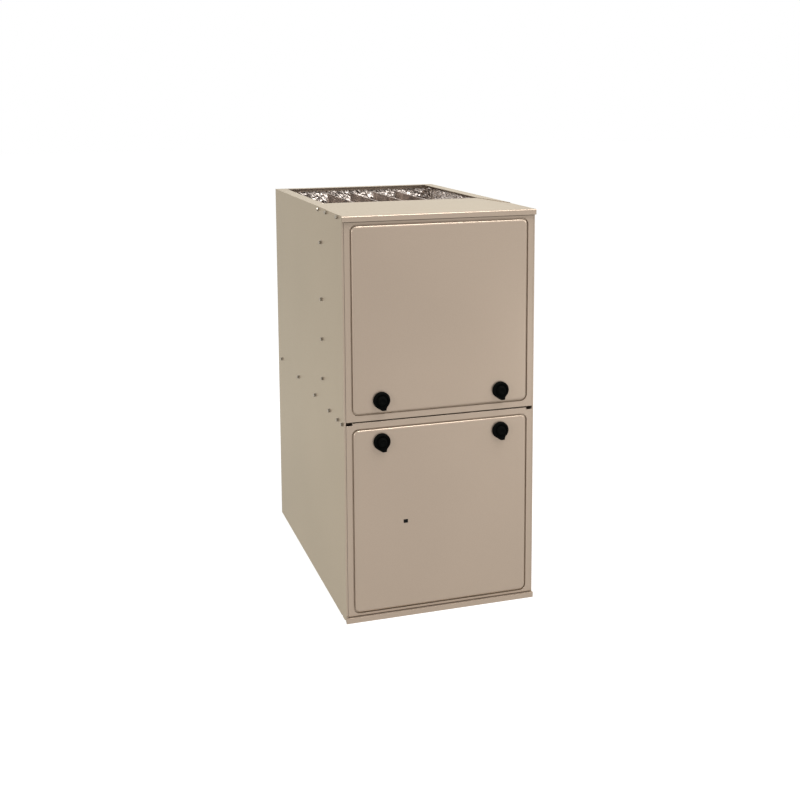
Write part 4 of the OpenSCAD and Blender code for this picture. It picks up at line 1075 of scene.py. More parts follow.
@dataclass
class ControlBoard(Shop):
    """The control board: relays, pin headers, spade terminals, a fuse, small parts and the status lamp."""

    board_t: float = 1.6
    standoff: float = 8.0

    def build(self) -> None:
        """Builds the board and everything soldered to it."""
        self.low, self.high, _ = self.span("control_board")
        self.wide, self.tall = self.high.x - self.low.x, self.high.z - self.low.z
        self.face = self.high.y - self.standoff - self.board_t
        self.laminate()
        self.relays()
        self.headers()
        self.spades()
        self.fuse()
        self.small_parts()
        self.status_lamp()

    def at(self, u: float, v: float, spin: float = 0.0) -> Matrix:
        """Returns the place on the board's face, from its lower left corner."""
        return facing_front(self.low.x + u, self.face + 0.05, self.low.z + v, spin)

    def laminate(self) -> None:
        """Builds the board itself and its corner posts."""
        board = Bench.cube("board_blank", (self.low.x, self.face, self.low.z),
                           (self.high.x, self.face + self.board_t, self.high.z))
        board.round_along(1, 4, 4).clean().soften(0.15, 1)
        self.gather("control_board_laminate", Paints.BOARD, [board], "control_board")
        post = Bench.lathe("post_blank", [
            (3.4, -self.standoff - self.board_t), (3.4, -self.board_t - 0.6), (2.2, -self.board_t - 0.2),
            (2.2, 0.2), (3.6, 0.6), (3.2, 1.4), (0.8, 2.6)], 20)
        corners = [self.at(u, v) for u in (8.0, self.wide - 8) for v in (8.0, self.tall - 8)]
        self.gather("board_posts", Paints.PLUNGER, self.spread(post, corners))

    def relays(self) -> None:
        """Builds the four relays along the top edge."""
        relay = Bench.cube("relay_blank", (-12, -14, 0), (12, 14, 15)).round_along(2, 1.2, 3)
        relay.top().inset(1.0, 0.8)
        relay.top().inset(2.2).inset(0.3, -0.5)
        relay.clean().soften(0.25, 2)
        row = [self.at(24 + 30 * k, self.tall - 36) for k in range(4)]
        self.gather("relay_bank", Paints.RELAY, self.spread(relay, row))

    def headers(self) -> None:
        """Builds the two shrouded pin headers along the bottom edge."""
        cell = Bench.cube("header_cell", (-2.4, -5.0, 0), (2.4, 5.0, 9))
        cell.top().inset(0.7).inset(0.15, -7.0)
        cell.clean().soften(0.12, 1)
        pin = Bench.cube("header_pin", (-0.55, -0.55, 0.5), (0.55, 0.55, 7.6)).soften(0.15, 1)
        row = [self.at(start + PIN_PITCH * k, PIN_UP) for start in HEADERS for k in range(HEADER_PINS)]
        self.gather("pin_headers", Paints.PLUNGER, self.spread(cell, row))
        self.gather("header_pins", Paints.ZINC, self.spread(pin, row))

    def spades(self) -> None:
        """Builds the spade terminals that the fan and line wires push on to."""
        tab = Bench.cube("spade_tab", (-0.4, -3.15, 0), (0.4, 3.15, 9))
        tab.top().extrude(z=1.4).scale(0.6, 0.7)
        tab.clean().soften(0.12, 1).join(Bench.cube("spade_foot", (-1.2, -4.0, 0), (1.2, 4.0, 1.2)).soften(0.3, 2))
        middle = self.tall / 2
        rows = zip(TAB_ROWS, (6, 4))
        places = [self.at(TAB_START + TAB_PITCH * k, middle + rise) for rise, tabs in rows for k in range(tabs)]
        self.gather("spade_terminals", Paints.ZINC, self.spread(tab, places))

    def fuse(self) -> None:
        """Builds the blade fuse in its holder."""
        spot = self.at(self.wide - 16, self.tall / 2 + 24, 90)
        holder = Bench.cube("holder_blank", (-10, -3.4, 0), (10, 3.4, 7))
        holder.top().inset(1.2).inset(0.2, -4.0)
        self.gather("fuse_holder", Paints.RELAY, [holder.clean().soften(0.3, 2).place(spot)])
        fuse = Bench.cube("fuse_blank", (-8.6, -2.0, 3.2), (8.6, 2.0, 13))
        fuse.top().inset(0.8, 0.3)
        fuse.faces(lambda c, n: abs(n.y) > 0.9).inset(2.2, -0.5)
        self.gather("blade_fuse", Paints.FUSE, [fuse.clean().soften(0.3, 2).place(spot)])

    def small_parts(self) -> None:
        """Builds the chips with their legs, the capacitors and the resistors."""
        u, v = self.wide - 37, self.tall / 2 - 1
        chips = [Bench.cube("processor", (-9, -9, 0.8), (9, 9, 3.4)).soften(0.3, 2).place(self.at(u, v))]
        for k in range(3):
            chips.append(Bench.cube(f"driver_{k}", (-5, -3, 0.6), (5, 3, 3.0)).soften(0.25, 2)
                         .place(self.at(60 + 18 * k, 34, 90)))
        self.gather("board_chips", Paints.RELAY, chips)
        steps = [2.1 * (k - 3.5) for k in range(8)]
        feet = [self.at(u + step, v + side * 10) for step in steps for side in (-1, 1)]
        feet += [self.at(u + side * 10, v + step, 90) for step in steps for side in (-1, 1)]
        leg = Bench.cube("chip_leg", (-0.3, -1.4, 0.0), (0.3, 1.4, 0.9)).soften(0.08, 1)
        self.gather("chip_legs", Paints.ZINC, self.spread(leg, feet))
        can = Bench.lathe("can_blank", [
            (4.6, 0.1), (5.0, 0.5), (5.0, 2.0), (4.7, 2.5), (5.0, 3.0), (5.0, 11.4), (4.6, 12.0), (4.0, 12.0),
            (3.7, 11.8), (0.4, 11.8)], 28)
        spots = [(72, v + 13), (86, v + 13), (14, 38), (30, 38)]
        self.gather("board_capacitors", Paints.CAN, self.spread(can, [self.at(a, b) for a, b in spots]))
        rod = Bench.lathe("resistor_blank", mirrored([(1.1, 1.6), (1.3, 2.2), (1.2, 3.0), (0.4, 3.2), (0.4, 6.5)]), 12)
        lying = moved(0, 0, 1.6) @ turned(90, "Y")
        row = [self.at(60 + 5 * k, 58, 90) @ lying for k in range(9)]
        self.gather("board_resistors", Paints.CERAMIC, self.spread(rod, row))

    def status_lamp(self) -> None:
        """Builds the status lamp behind the sight glass."""
        _, _, window = self.span("sight_glass")
        lamp = Bench.lathe("lamp_blank", [
            (3.0, 0.1), (3.0, 1.0), (2.5, 1.2), (2.5, 4.4), (2.2, 5.6), (1.4, 6.4), (0.3, 6.7)], 24)
        self.gather("status_lamp", Paints.BUTTON, [lamp.place(facing_front(window.x, self.face, window.z))])


@dataclass
class Motors(Shop):
    """The blower's and the inducer's motors: rolled shells, vented end bells, through bolts and lead bosses."""

    blower_vents: int = 12
    vent_in: float = 28.0
    bolts: int = 4
    bolt_in: float = 12.5
    inducer_r: float = 40.0
    louvres: int = 10
    louvre_in: float = 20.0
    studs: int = 3
    stud_out: float = 2.0

    def build(self) -> None:
        """Builds both motors."""
        self.blower_motor()
        self.inducer_motor()

    def blower_motor(self) -> None:
        """Builds the blower motor, its shaft end to the right."""
        low, high, middle = self.span("blower_motor")
        r, long = (high.z - low.z) / 2, high.x - low.x
        hub, bore = long - 7.0, 6.4
        shell = Bench.lathe("motor_shell", [
            (r - 14, 0), (r - 9, 1.6), (r - 4, 6), (r - 1.4, 11), (r - 1.4, 13), (r, 13.4), (r, 17),
            (r - 0.8, 17.6), (r - 0.8, hub - 18), (r, hub - 17.4), (r, hub - 13.6), (r - 1.4, hub - 13),
            (r - 1.4, hub - 11), (r - 4, hub - 6), (r - 9, hub - 1.6), (r - 14, hub), (20, hub), (17, hub + 2),
            (14, hub + 2), (13, long), (bore, long), (bore, long - 50)], 96)
        slot = Bench.cube("vent_slot", (-3.2, -9.5, -2), (3.2, 9.5, 7)).round_along(2, 3.0, 4).clean()
        place = facing_right(low.x, middle.y, middle.z)
        self.pierce(shell, slot, self.blower_vents, r - self.vent_in).soften(0.4, 2, 40).place(place)
        boss = Bench.lathe("lead_boss", [(9, r - 3), (9, r + 5), (8, r + 6), (5.5, r + 6), (5.5, r + 3)], 24)
        boss.place(facing_right(low.x + long / 2, middle.y, middle.z) @ turned(-90, "X"))
        self.gather("blower_motor_shell", Paints.MOTOR, [shell, boss], "blower_motor")
        bolt = Bench.lathe("through_bolt", [(4.6, 0), (4.6, 1.4), (2.4, 1.5), (2.4, 3.2), (0.4, 3.4)], 6)
        back = place @ turned(180, "Y")
        spots = [back @ turned(45 + 360 / self.bolts * k) @ moved(r - self.bolt_in, 0, -1.4)
                 for k in range(self.bolts)]
        self.gather("motor_through_bolts", Paints.ZINC, self.spread(bolt, spots))

    def inducer_motor(self) -> None:
        """Builds the inducer motor, its cooling fan's guard to the front."""
        low, high, _ = self.span("inducer_motor")
        _, _, wheel = self.span("inducer_wheel")
        r, long, bore = self.inducer_r, high.y - low.y, 4.1
        shell = Bench.lathe("inducer_shell", [
            (bore, 26), (bore, 0), (r - 14, 0), (r - 8, 1.2), (r - 8, 7), (r - 1, 8.5), (r, 10), (r, 14),
            (r - 0.8, 14.6), (r - 0.8, long - 14.6), (r, long - 14), (r, long - 10), (r - 1, long - 8.5),
            (r - 6, long - 7), (r - 10, long - 2), (r - 13, long), (9, long), (8, long - 2), (0.5, long - 2)], 72)
        slot = Bench.cube("louvre", (-2.4, -6.5, long - 12), (2.4, 6.5, long + 2)).round_along(2, 2.2, 4).clean()
        place = facing_front(wheel.x, high.y, wheel.z)
        self.pierce(shell, slot, self.louvres, r - self.louvre_in).soften(0.3, 2, 40).place(place)
        self.gather("inducer_motor_shell", Paints.CASTING, [shell], "inducer_motor")
        stud = Bench.lathe("stud_blank", [
            (3.9, 0), (3.9, long - 12), (2.6, long - 11.6), (2.6, long - 10.4), (0.4, long - 10)], 16)
        spots = [place @ turned(360 / self.studs * k) @ moved(0, r + self.stud_out, 0) for k in range(self.studs)]
        self.gather("inducer_motor_studs", Paints.ZINC, self.spread(stud, spots))


@dataclass
class Electrics(Shop):
    """The transformer, the run capacitor, the gas valve's knob and the pressure switch."""

    def build(self) -> None:
        """Builds each of them."""
        self.transformer()
        self.capacitor()
        self.valve_knob()
        self.pressure_switch()

    def transformer(self) -> None:
        """Builds the laminated core, the wound coil and the foot strap."""
        low, high, _ = self.span("transformer")
        left, right = low.x + 6, high.x - 6
        core = Bench.cube("core_blank", (left, low.y + 8, low.z), (right, high.y - 8, high.z)).soften(0.5, 2)
        self.gather("transformer_core", Paints.CORE, [core], "transformer")
        coil = Bench.cube("coil_blank", (left + 14, low.y, low.z + 8), (right - 14, high.y - 1, high.z - 8))
        self.gather("transformer_coil", Paints.TAPE, [coil.round_along(2, 9, 6).clean().soften(1.0, 3)])
        strap = Bench.cube("strap_blank", (low.x, high.y - 8.6, low.z + 16), (high.x, high.y - 0.2, high.z - 16))
        strap.faces(lambda c, n: n.y < -0.9).inset(2.0)
        self.gather("transformer_foot", Paints.ZINC, [strap.clean().soften(0.4, 2)])

    def capacitor(self) -> None:
        """Builds the can with its crimped lid, the strap and the terminals."""
        low, high, middle = self.span("capacitor")
        r, tall, y = 21.0, 80.0, low.y + 22
        can = Bench.lathe("can_blank", [
            (r - 2, 0), (r - 0.6, 0.6), (r, 2), (r, tall - 6), (r - 1.4, tall - 5), (r - 1.4, tall - 3.6),
            (r, tall - 2.8), (r, tall - 0.8), (r - 0.7, tall), (r - 1.6, tall), (r - 2.2, tall - 1.6),
            (0.5, tall - 1.6)], 64)
        stand = moved(middle.x, y, low.z)
        can.soften(0.15, 1, 50).place(stand)
        self.gather("capacitor_shell", Paints.CAN, [can], "capacitor")
        band = Bench.lathe("band_blank", [(r + 0.1, 34), (r + 1, 34.2), (r + 1, 45.8), (r + 0.1, 46)], 64)
        foot = Bench.cube("band_foot", (low.x, high.y - 1.5, low.z + 34), (high.x, high.y - 0.1, low.z + 46))
        self.gather("capacitor_strap", Paints.ZINC, [band.place(stand), foot.soften(0.3, 1)])
        tab = Bench.cube("tab", (-3, -0.4, tall - 2), (3, 0.4, tall + 8.8)).soften(0.15, 1)
        self.gather("capacitor_tabs", Paints.ZINC, self.spread(tab, [stand @ moved(x, 0, 0) for x in (-8, 8)]))

    def valve_knob(self) -> None:
        """Builds the gas valve's turning knob with its grip bar and ribbed rim."""
        low, high, middle = self.span("gas_valve_knob")
        knob = Bench.lathe("valve_knob_blank", [
            (4, -8), (4, 4.2), (10.2, 4.3), (10.6, 5), (10.6, 12.6), (9.8, 14), (0.5, 14)], 48)
        rib = Bench.cube("rim_rib", (-0.7, 10.0, 5.2), (0.7, 11.0, 12.8))
        ribs = self.spread(rib, [turned(15 * k) for k in range(24)])
        bar = Bench.cube("grip_bar", (-2.5, -10, 13), (2.5, 10.6, 20)).soften(1.0, 3)
        place = facing_front(middle.x, high.y - 8, low.z + 11)
        for bench in (knob, bar, *ribs):
            bench.place(place)
        self.gather("gas_valve_knob_ribbed", Paints.VALVE_KNOB, [knob, bar, *ribs], "gas_valve_knob",
                    body=self.parts.body_of["gas_valve_knob"])

    def pressure_switch(self) -> None:
        """Builds the pressure switch: two ribbed shells with a clamped diaphragm, a turret and a hose barb."""
        low, high, middle = self.span("pressure_switch")
        z = low.z + 52
        body = Bench.lathe("diaphragm_shell", [
            (28, 1.4), (29, 2.2), (29, 10), (31, 10.6), (31, 15.4), (29, 16), (28, 22), (25, 25), (20, 26),
            (12, 26), (12, 34.5), (11, 36), (0.5, 36)], 72)
        rib = Bench.cube("shell_rib", (-0.8, 12.0, 20), (0.8, 27.0, 26.6)).soften(0.3, 1)
        ribs = self.spread(rib, [turned(30 * k + 15) for k in range(12)])
        place = facing_front(middle.x, high.y, z)
        for bench in (body, *ribs):
            bench.place(place)
        barb = Bench.lathe("hose_barb", [(3.0, -52), (3.0, -30), (2.6, -30), (3.0, -20), (0.5, -20)], 20)
        barb.place(moved(middle.x, self.span("pressure_hose")[2].y, z))
        x, wall = middle.x, high.y
        web = Bench.cube("barb_web", (x - 4, wall - 24, z - 40), (x + 4, wall - 4, z - 20)).soften(0.6, 2)
        self.gather("pressure_switch_shells", Paints.SWITCH, [body.soften(0.2, 1, 50), *ribs, barb, web],
                    "pressure_switch")
        plate = Bench.cube("bracket_blank", (x - 30, wall - 1.5, z - 34), (x + 30, wall, z + 34)).soften(0.3, 1)
        self.gather("pressure_switch_bracket", Paints.ZINC, [plate])


@dataclass
class Wiring(Shop):
    """The harness: wires from the control board, through the deck, to every switch, motor and valve."""

    wire_r: float = 1.2
    lead_r: float = 2.2
    ring: float = 2.6
    hole: Span = (-186.0, 52.0)
    deck: float = 454.0
    left: float = -190.0
    wall: float = 190.0
    right: Span = (-24.0, 64.0)
    side_gap: float = 5.0

    def build(self) -> None:
        """Lays every wire, then its ties and the deck's grommet."""
        self.front = self.span("casing_rails")[0].y
        self.laid: dict[Paints, list[Bench]] = {paint: [] for paint in Paints if paint.name.startswith("WIRE_")}
        self.board_low, self.board_high, _ = self.span("control_board")
        self.upper_harness()
        self.board_leads()
        self.blower_lead()
        for paint, wires in self.laid.items():
            self.gather(paint.name.lower(), paint, wires)
        self.ties()
        self.grommet()

    def lay(self, paint: Paints, route: Sequence[Place], lane: int = 0) -> None:
        """Lays one wire in its lane of a round bundle.

        Args:
            paint: Its insulation.
            route: Its points: across, behind the casing's front, and up, in mm; the last ones leave the bundle.
            lane: Its place in the bundle, 0 for the middle.
        """
        shell = 0 if lane == 0 else 1 + (lane - 1) // 6
        angle = math.radians(60 * lane + 30 * shell)
        aside = Vector((math.cos(angle), math.sin(angle), math.cos(angle))) * self.ring * shell
        points = []
        for number, (x, depth, z) in enumerate(route):
            loose = min(number, len(route) - 1 - number, 3) / 3
            points.append((x + aside.x * loose, self.front + depth + aside.y * loose, z + aside.z * loose))
        wires = self.laid[paint]
        wires.append(Bench.wire(f"{paint.name.lower()}_{len(wires)}", points, self.wire_r))

    def plug(self, x: float) -> list[Place]:
        """Returns how a wire leaves the bundle under the board and bends into its header pin at x."""
        foot = self.board_low.z + PIN_UP
        return [(x, 62.0, foot - 22), (x, 49.0, foot - 14), (x, 44.0, foot - 3), (x, 46.0, foot), (x, 58.0, foot)]

    def pin(self, number: int) -> float:
        """Returns the place across of a pin, counted over both headers."""
        header, pin = divmod(number, HEADER_PINS)
        return self.board_low.x + HEADERS[header] + PIN_PITCH * pin

    def upper_harness(self) -> None:
        """Lays the wires that rise through the deck to the burner compartment, each from its own header pin."""
        wall, left = self.wall, self.left
        below = [(*self.hole, 440.0), (-196.0, 60.0, 405.0), (-198.5, 65.0, 370.0), (-198.5, 66.0, 280.0),
                 (-198.5, 66.0, 200.0), (-196.0, 66.0, 172.0), (-184.0, 66.0, 166.0)]
        through = [(*self.hole, self.deck + 3), (*self.hole, 500.0)]
        rise = [*through, (-188.0, 110.0, 528.0), (left, 180.0, 560.0), (left, wall, 610.0)]
        low_row = [*rise, (left, wall, 700.0), (left, wall, 745.0), (-176.0, wall, 768.0), (-140.0, wall, 771.0)]
        ends: dict[str, tuple[str, list[Place]]] = {
            "inducer": ("black red", [
                *through, (-170.0, 74.0, 530.0), (-145.0, 88.0, 562.0), (-112.0, 94.0, 577.0),
                (-86.0, 94.0, 580.0)]),
            "pressure switch": ("yellow yellow", [
                *rise, (left, wall, 650.0), (-180.0, 178.0, 690.0), (-164.0, 156.0, 712.0),
                (-144.0, 154.0, 720.0), (-129.0, 168.0, 720.0)]),
            "igniter": ("white white", [
                *rise, (left, wall, 700.0), (-186.0, wall, 752.0), (-160.0, 188.0, 772.0), (-108.0, 187.0, 772.0),
                (-100.0, 187.0, 784.0), (-100.0, 187.0, 798.0)]),
            "limit switch": ("black red", [
                *low_row, (-40.0, wall, 771.0), (8.0, 186.0, 768.0), (28.0, 172.0, 758.0), (33.0, 170.0, 744.0),
                (33.0, 183.0, 741.0)]),
            "flame sensor": ("white", [
                *low_row, (20.0, wall, 773.0), (86.0, 189.0, 771.0), (100.0, 187.0, 780.0),
                (100.0, 187.0, 798.0)]),
            "gas valve": ("blue yellow green", [
                *low_row, (20.0, wall, 771.0), (110.0, wall, 768.0), (148.0, 168.0, 772.0), (160.0, 118.0, 782.0),
                (160.0, 92.0, 796.0), (160.0, 90.0, 815.0)]),
            "rollout switch": ("red red", [
                *rise, (left, wall, 700.0), (left, wall, 800.0), (-180.0, 184.0, 868.0), (-156.0, 166.0, 888.0),
                (-90.0, 150.0, 890.0), (-44.0, 146.0, 884.0), (-20.0, 158.0, 883.0)]),
        }
        wires = [(Paints[f"WIRE_{tone.upper()}"], side, route)
                 for tones, route in ends.values() for side, tone in enumerate(tones.split())]
        for lane, (paint, side, route) in enumerate(wires):
            last = [(x + self.side_gap * side, depth, z) for x, depth, z in route[-2:]]
            self.lay(paint, [*route[:-2], *last], lane)
            x = self.pin(lane)
            run = [(place, 66.0, 166.0) for place in (-170.0, -130.0, -95.0) if place < x - 8]
            self.lay(paint, [(*self.hole, self.deck), *below, *run, *self.plug(x)], lane)

    def board_leads(self) -> None:
        """Lays the leads to the right of the board: transformer, capacitor, door switch and junction box."""
        up = [(-60.0, 66.0, 166.0), (-34.0, 66.0, 167.0), (*self.right, 180.0), (*self.right, 230.0)]
        high_up = [*up, (*self.right, 300.0), (*self.right, 350.0)]
        from_pins = [
            (Paints.WIRE_RED, [*up, (-20.0, 52.0, 242.0), (-4.0, 46.0, 240.0), (-4.0, 46.0, 227.0)]),
            (Paints.WIRE_YELLOW, [*up, (-18.0, 54.0, 246.0), (6.0, 46.0, 243.0), (6.0, 46.0, 227.0)]),
            (Paints.WIRE_WHITE, [*high_up, (-14.0, 60.0, 384.0), (30.0, 52.0, 402.0), (60.0, 44.0, 420.0),
                                 (64.0, 40.0, 438.0)]),
            (Paints.WIRE_WHITE, [*high_up, (-12.0, 60.0, 381.0), (34.0, 52.0, 399.0), (70.0, 44.0, 420.0),
                                 (74.0, 40.0, 438.0)]),
        ]
        for number, (paint, route) in enumerate(from_pins):
            self.lay(paint, [*reversed(self.plug(self.pin(15 + number))), *route], number)
        line = [(-20.0, 62.0, 372.0), (10.0, 58.0, 394.0), (80.0, 56.0, 402.0), (140.0, 56.0, 398.0),
                (170.0, 54.0, 396.0)]
        middle = (self.board_low.z + self.board_high.z) / 2
        upper, lower = TAB_ROWS
        from_tabs = [
            (Paints.WIRE_BLACK, 2, upper, [(-8.0, 56.0, 372.0), (9.0, 51.0, 376.0), (10.0, 53.0, 352.0)]),
            (Paints.WIRE_BLUE, 3, upper, [(-6.0, 56.0, 376.0), (24.0, 51.0, 380.0), (26.0, 53.0, 352.0)]),
            (Paints.WIRE_BLACK, 4, upper, line),
            (Paints.WIRE_WHITE, 5, upper, line),
            (Paints.WIRE_GREEN, 3, lower, line),
        ]
        sleeve = Bench.lathe("tab_sleeve", [(2.6, 2.5), (3.4, 2.6), (3.4, 8.5), (2.2, 10.5), (2.2, 13), (0.5, 13)], 16)
        sleeve.soften(0.3, 1)
        sleeves = []
        for lane, (paint, tab, lift, route) in enumerate(from_tabs):
            x, z = self.board_low.x + TAB_START + TAB_PITCH * tab, middle + lift
            start = [(x, 58.0, z), (x, 44.0, z), (x + 4, 40.0, z + 4), (x + 30, 41.0, z + 14),
                     (-60.0, 44.0, 290.0), (-30.0, 56.0, 325.0), (*self.right, 350.0)]
            self.lay(paint, [*start, *route], lane)
            sleeves.append(facing_front(x, self.front + 65.4, z))
        self.gather("tab_sleeves", Paints.PLUNGER, self.spread(sleeve, sleeves))

    def blower_lead(self) -> None:
        """Lays the sleeved lead from the blower motor, under the panel, up to the left bundle."""
        _, _, motor = self.span("blower_motor")
        behind = motor.y - self.front
        route = [(motor.x, behind + 66, motor.z), (motor.x, behind + 84, motor.z),
                 (motor.x, behind + 92, motor.z - 40), (motor.x, behind + 60, 118.0), (-100.0, behind - 60, 112.0),
                 (-116.0, 230.0, 118.0), (-150.0, 130.0, 134.0), (-186.0, 84.0, 146.0), (-198.0, 68.0, 160.0),
                 (-199.0, 62.0, 190.0), (-199.0, 60.0, 230.0), (-192.0, 50.0, 251.0), (-178.0, 43.0, 251.0),
                 (-177.0, 58.0, 250.0)]
        points = [(x, self.front + depth, z) for x, depth, z in route]
        self.gather("blower_motor_lead", Paints.WIRE_BLACK, [Bench.wire("blower_lead", points, self.lead_r)])

    def ties(self) -> None:
        """Pulls a nylon tie round the bundles."""
        tie = Bench.lathe("tie_blank", mirrored([(7.0, 1.2), (6.4, 1.2)]), 28)
        tie.join(Bench.cube("tie_head", (-2.2, 6.2, -2.0), (2.2, 9.4, 2.0)).soften(0.4, 1))
        upright = [(self.left, self.wall, 640.0), (self.left, self.wall, 720.0), (-198.5, 66.0, 330.0),
                   (-198.5, 66.0, 225.0), (*self.right, 260.0)]
        across = [(-120.0, self.wall, 771.0), (-20.0, self.wall, 771.0), (-105.0, 66.0, 166.0)]
        places = [moved(x, self.front + depth, z) @ turned(215) for x, depth, z in upright]
        places += [facing_right(x, self.front + depth, z, 35) for x, depth, z in across]
        self.gather("nylon_ties", Paints.PLUNGER, self.spread(tie, places))

    def grommet(self) -> None:
        """Sets the rubber grommet that takes the harness through the deck."""
        ring = Bench.lathe("deck_grommet", mirrored([(11.5, 0.6), (11.5, 2.2), (10.5, 3.2), (8.5, 3.2)]), 32)
        x, depth = self.hole
        ring.soften(0.3, 1).place(moved(x, self.front + depth, self.deck + 1))
        self.gather("harness_grommet", Paints.RUBBER, [ring])


@dataclass
class InnerScrews(Shop):
    """Hex washer heads that hold the inner panels, brackets and boxes, and the worm clamp on the vent coupling.

    Each row of panels holds a node, how far its screws lie in from its sides, before its back, and in from its
    lower and upper edges, in mm.
    """

    panels: tuple[tuple[str, float, float, float, float], ...] = (
        ("control_panel", 7, 18, 10, 12), ("burner_rack", 10, 28, 8, 8), ("collector_box", 5, 4, 18, 5),
    )
    box_in: float = 7.0
    box_reach: float = 0.36
    clamp_in: float = 8.0

    def build(self) -> None:
        """Builds the screws and the clamp."""
        self.screws()
        self.clamp()

    def screws(self) -> None:
        """Sets the screws that the open doors show."""
        spots: list[Place] = []
        for node, in_x, behind, in_low, in_high in self.panels:
            low, high, _ = self.span(node)
            spots += [(x, high.y - behind, z) for x in (low.x + in_x, high.x - in_x)
                      for z in (low.z + in_low, high.z - in_high)]
        low, high, middle = self.span("junction_box")
        reach = self.box_reach * (high.z - low.z)
        spots[4:4] = [(low.x + self.box_in, low.y, middle.z + side * reach) for side in (-1, 1)]
        head = Bench.lathe("inner_screw", [(4.4, 0), (4.4, 0.6), (3.4, 0.9), (3.4, 1.0)], 20)
        cap = Bench.lathe("inner_hex", [(3.2, 0.8), (3.2, 3.0), (2.4, 3.3), (0.4, 3.3)], 6)
        head.join(cap).soften(0.1, 1)
        screws = self.spread(head, [facing_front(x, y, z, 17 * n) for n, (x, y, z) in enumerate(spots)])
        self.gather("inner_panel_screws", Paints.ZINC, screws)

    def clamp(self) -> None:
        """Winds a worm drive band round the inner grip of the vent's rubber coupling."""
        low, _, _ = self.span("pipe_couplings")
        _, _, vent = self.span("vent_pipe")
        band = Bench.lathe("worm_band", mirrored([(35.4, 4.8), (34.5, 5)]), 64)
        screw = Bench.lathe("worm_screw", [(3.4, -7), (3.4, 5.6), (4.4, 5.8), (4.4, 8.6), (0.5, 8.8)], 18)
        screw.place(moved(0, 39, 0) @ turned(90, "Y"))
        house = Bench.cube("worm_house", (-7, 35, -4.6), (5, 40, 4.6)).soften(0.6, 2)
        band.join(screw, house).place(facing_right(low.x + self.clamp_in, vent.y, vent.z, 130))
        self.gather("coupling_clamps", Paints.ZINC, [band])


# ---------------------------------------------------------------------------- studio


@dataclass(frozen=True)
class PhotoCamera:
    """The photograph's camera, found from the casing's corners in an 800 by 800 picture."""

    place: Place = (-0.82294, -2.68271, 1.17166)
    right: Place = (0.954182, -0.299168, -0.005998)
    up: Place = (0.044608, 0.122396, 0.991478)
    forward: Place = (0.295885, 0.946318, -0.130133)
    lens_mm: float = 51.553
    sensor_mm: float = 36.0
    rise: float = -0.2
    clip_m: Span = (0.05, 60.0)

    def build(self) -> None:
        """Makes the camera and hands it to the scene."""
        data = bpy.data.cameras.new("photo_camera")
        data.lens = self.lens_mm
        data.sensor_width = self.sensor_mm
        data.shift_y = self.rise
        data.clip_start, data.clip_end = self.clip_m
        camera = put_in_scene(bpy.data.objects.new("photo_camera", data))
        turn = Matrix((self.right, self.up, -Vector(self.forward))).transposed().to_4x4()
        camera.matrix_world = Matrix.Translation(self.place) @ turn
        bpy.context.scene.camera = camera


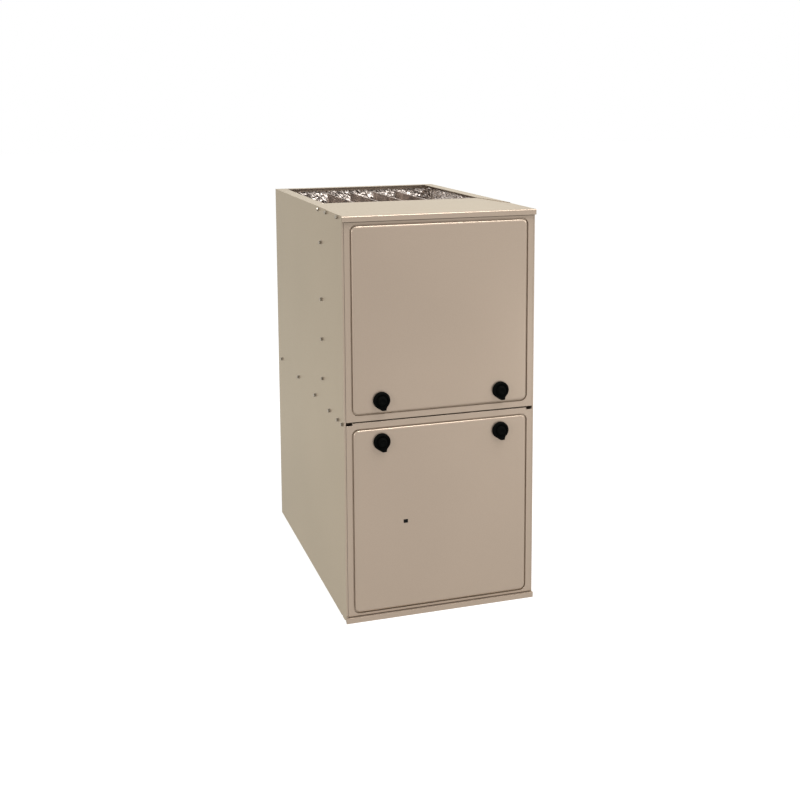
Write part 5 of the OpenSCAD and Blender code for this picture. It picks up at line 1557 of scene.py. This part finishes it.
@dataclass(frozen=True)
class Studio:
    """A pale floor, an even sky and large soft lamps."""

    floor_m: float = 40.0
    floor_pale: float = 0.28
    floor_glow: float = 0.93
    sky: float = 0.28
    lamps: tuple[tuple[str, Place, Place, float, float], ...] = (
        ("key", (3.3, -1.9, 2.3), (0.1, 0.0, 0.8), 1.6, 44),
        ("low_fill", (1.0, -1.5, 0.2), (0.15, -0.35, 0.4), 0.5, 1.1),
        ("left_fill", (-2.7, -1.6, 1.35), (-0.2, 0.0, 1.0), 0.9, 35),
        ("top", (0.6, -1.3, 3.2), (0.0, -0.1, 0.8), 1.3, 76),
        ("back", (0.9, 2.8, 1.6), (0.0, 0.0, 0.9), 1.2, 1.4),
    )

    def build(self) -> None:
        """Builds the floor, the sky and the lamps."""
        self.floor()
        self.world()
        for lamp in self.lamps:
            self.lamp(*lamp)

    def floor(self) -> None:
        """Builds the plain pale floor."""
        bpy.ops.object.select_all(action="DESELECT")
        bpy.ops.mesh.primitive_plane_add(size=self.floor_m)
        plane = bpy.context.object
        plane.name = "floor"
        plain = bpy.data.materials.new("pale_matt_floor")
        tree = empty_tree(plain)
        matt = add_node(tree, "ShaderNodeBsdfDiffuse", {"Color": (*(self.floor_pale,) * 3, 1)})
        dim = add_node(tree, "ShaderNodeMath", {0: self.direct(tree), 1: self.floor_glow}, operation="MULTIPLY")
        glow = add_node(tree, "ShaderNodeEmission", {"Color": (1, 1, 1, 1), "Strength": dim.outputs[0]})
        both = add_node(tree, "ShaderNodeAddShader", {0: matt.outputs[0], 1: glow.outputs[0]})
        add_node(tree, "ShaderNodeOutputMaterial", {"Surface": both.outputs[0]})
        plane.data.materials.append(plain)

    @staticmethod
    def direct(tree: bpy.types.NodeTree) -> bpy.types.NodeSocket:
        """Returns a socket that is 1 for camera, glossy and transmission rays, and 0 for light."""
        rays = add_node(tree, "ShaderNodeLightPath").outputs
        seen = rays["Is Camera Ray"]
        for kind in ("Is Transmission Ray", "Is Glossy Ray"):
            seen = add_node(tree, "ShaderNodeMath", {0: seen, 1: rays[kind]}, operation="MAXIMUM").outputs[0]
        return seen

    def world(self) -> None:
        """Builds the sky: white to the camera, glossy and transmission rays, and softer as a light."""
        world = bpy.data.worlds.new("studio_white")
        bpy.context.scene.world = world
        tree = empty_tree(world)
        strength = remap(tree, self.direct(tree), (0.0, 1.0), (self.sky, 1.0))
        light = add_node(tree, "ShaderNodeBackground", {"Color": (1, 1, 1, 1), "Strength": strength})
        add_node(tree, "ShaderNodeOutputWorld", {"Surface": light.outputs[0]})

    def lamp(self, name: str, place: Place, aim: Place, size: float, power: float) -> None:
        """Adds one square soft lamp.

        Args:
            name: The lamp's name.
            place: Where it hangs, in metres.
            aim: The point that it faces.
            size: Its edge, in metres.
            power: Its power, in watts.
        """
        data = bpy.data.lights.new(name, "AREA")
        data.size = size
        data.energy = power
        lamp = put_in_scene(bpy.data.objects.new(name, data))
        lamp.location = place
        lamp.rotation_euler = (Vector(aim) - Vector(place)).to_track_quat("-Z", "Y").to_euler()


def main() -> None:
    """Builds the studio and every sub-assembly in order."""
    logging.basicConfig(level=logging.INFO, format="%(name)s: %(message)s")
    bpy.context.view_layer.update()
    bpy.context.scene.view_settings.view_transform = "Standard"
    PhotoCamera().build()
    Studio().build()
    parts = Carried()
    parts.paint_all()
    Casing(parts).build()
    Knobs().build()
    Screws().build()
    FoilLiners().build()
    for section in (Fittings, ControlBoard, Motors, Electrics, Wiring, InnerScrews):
        section(parts).build()


if __name__ == "__main__":
    main()
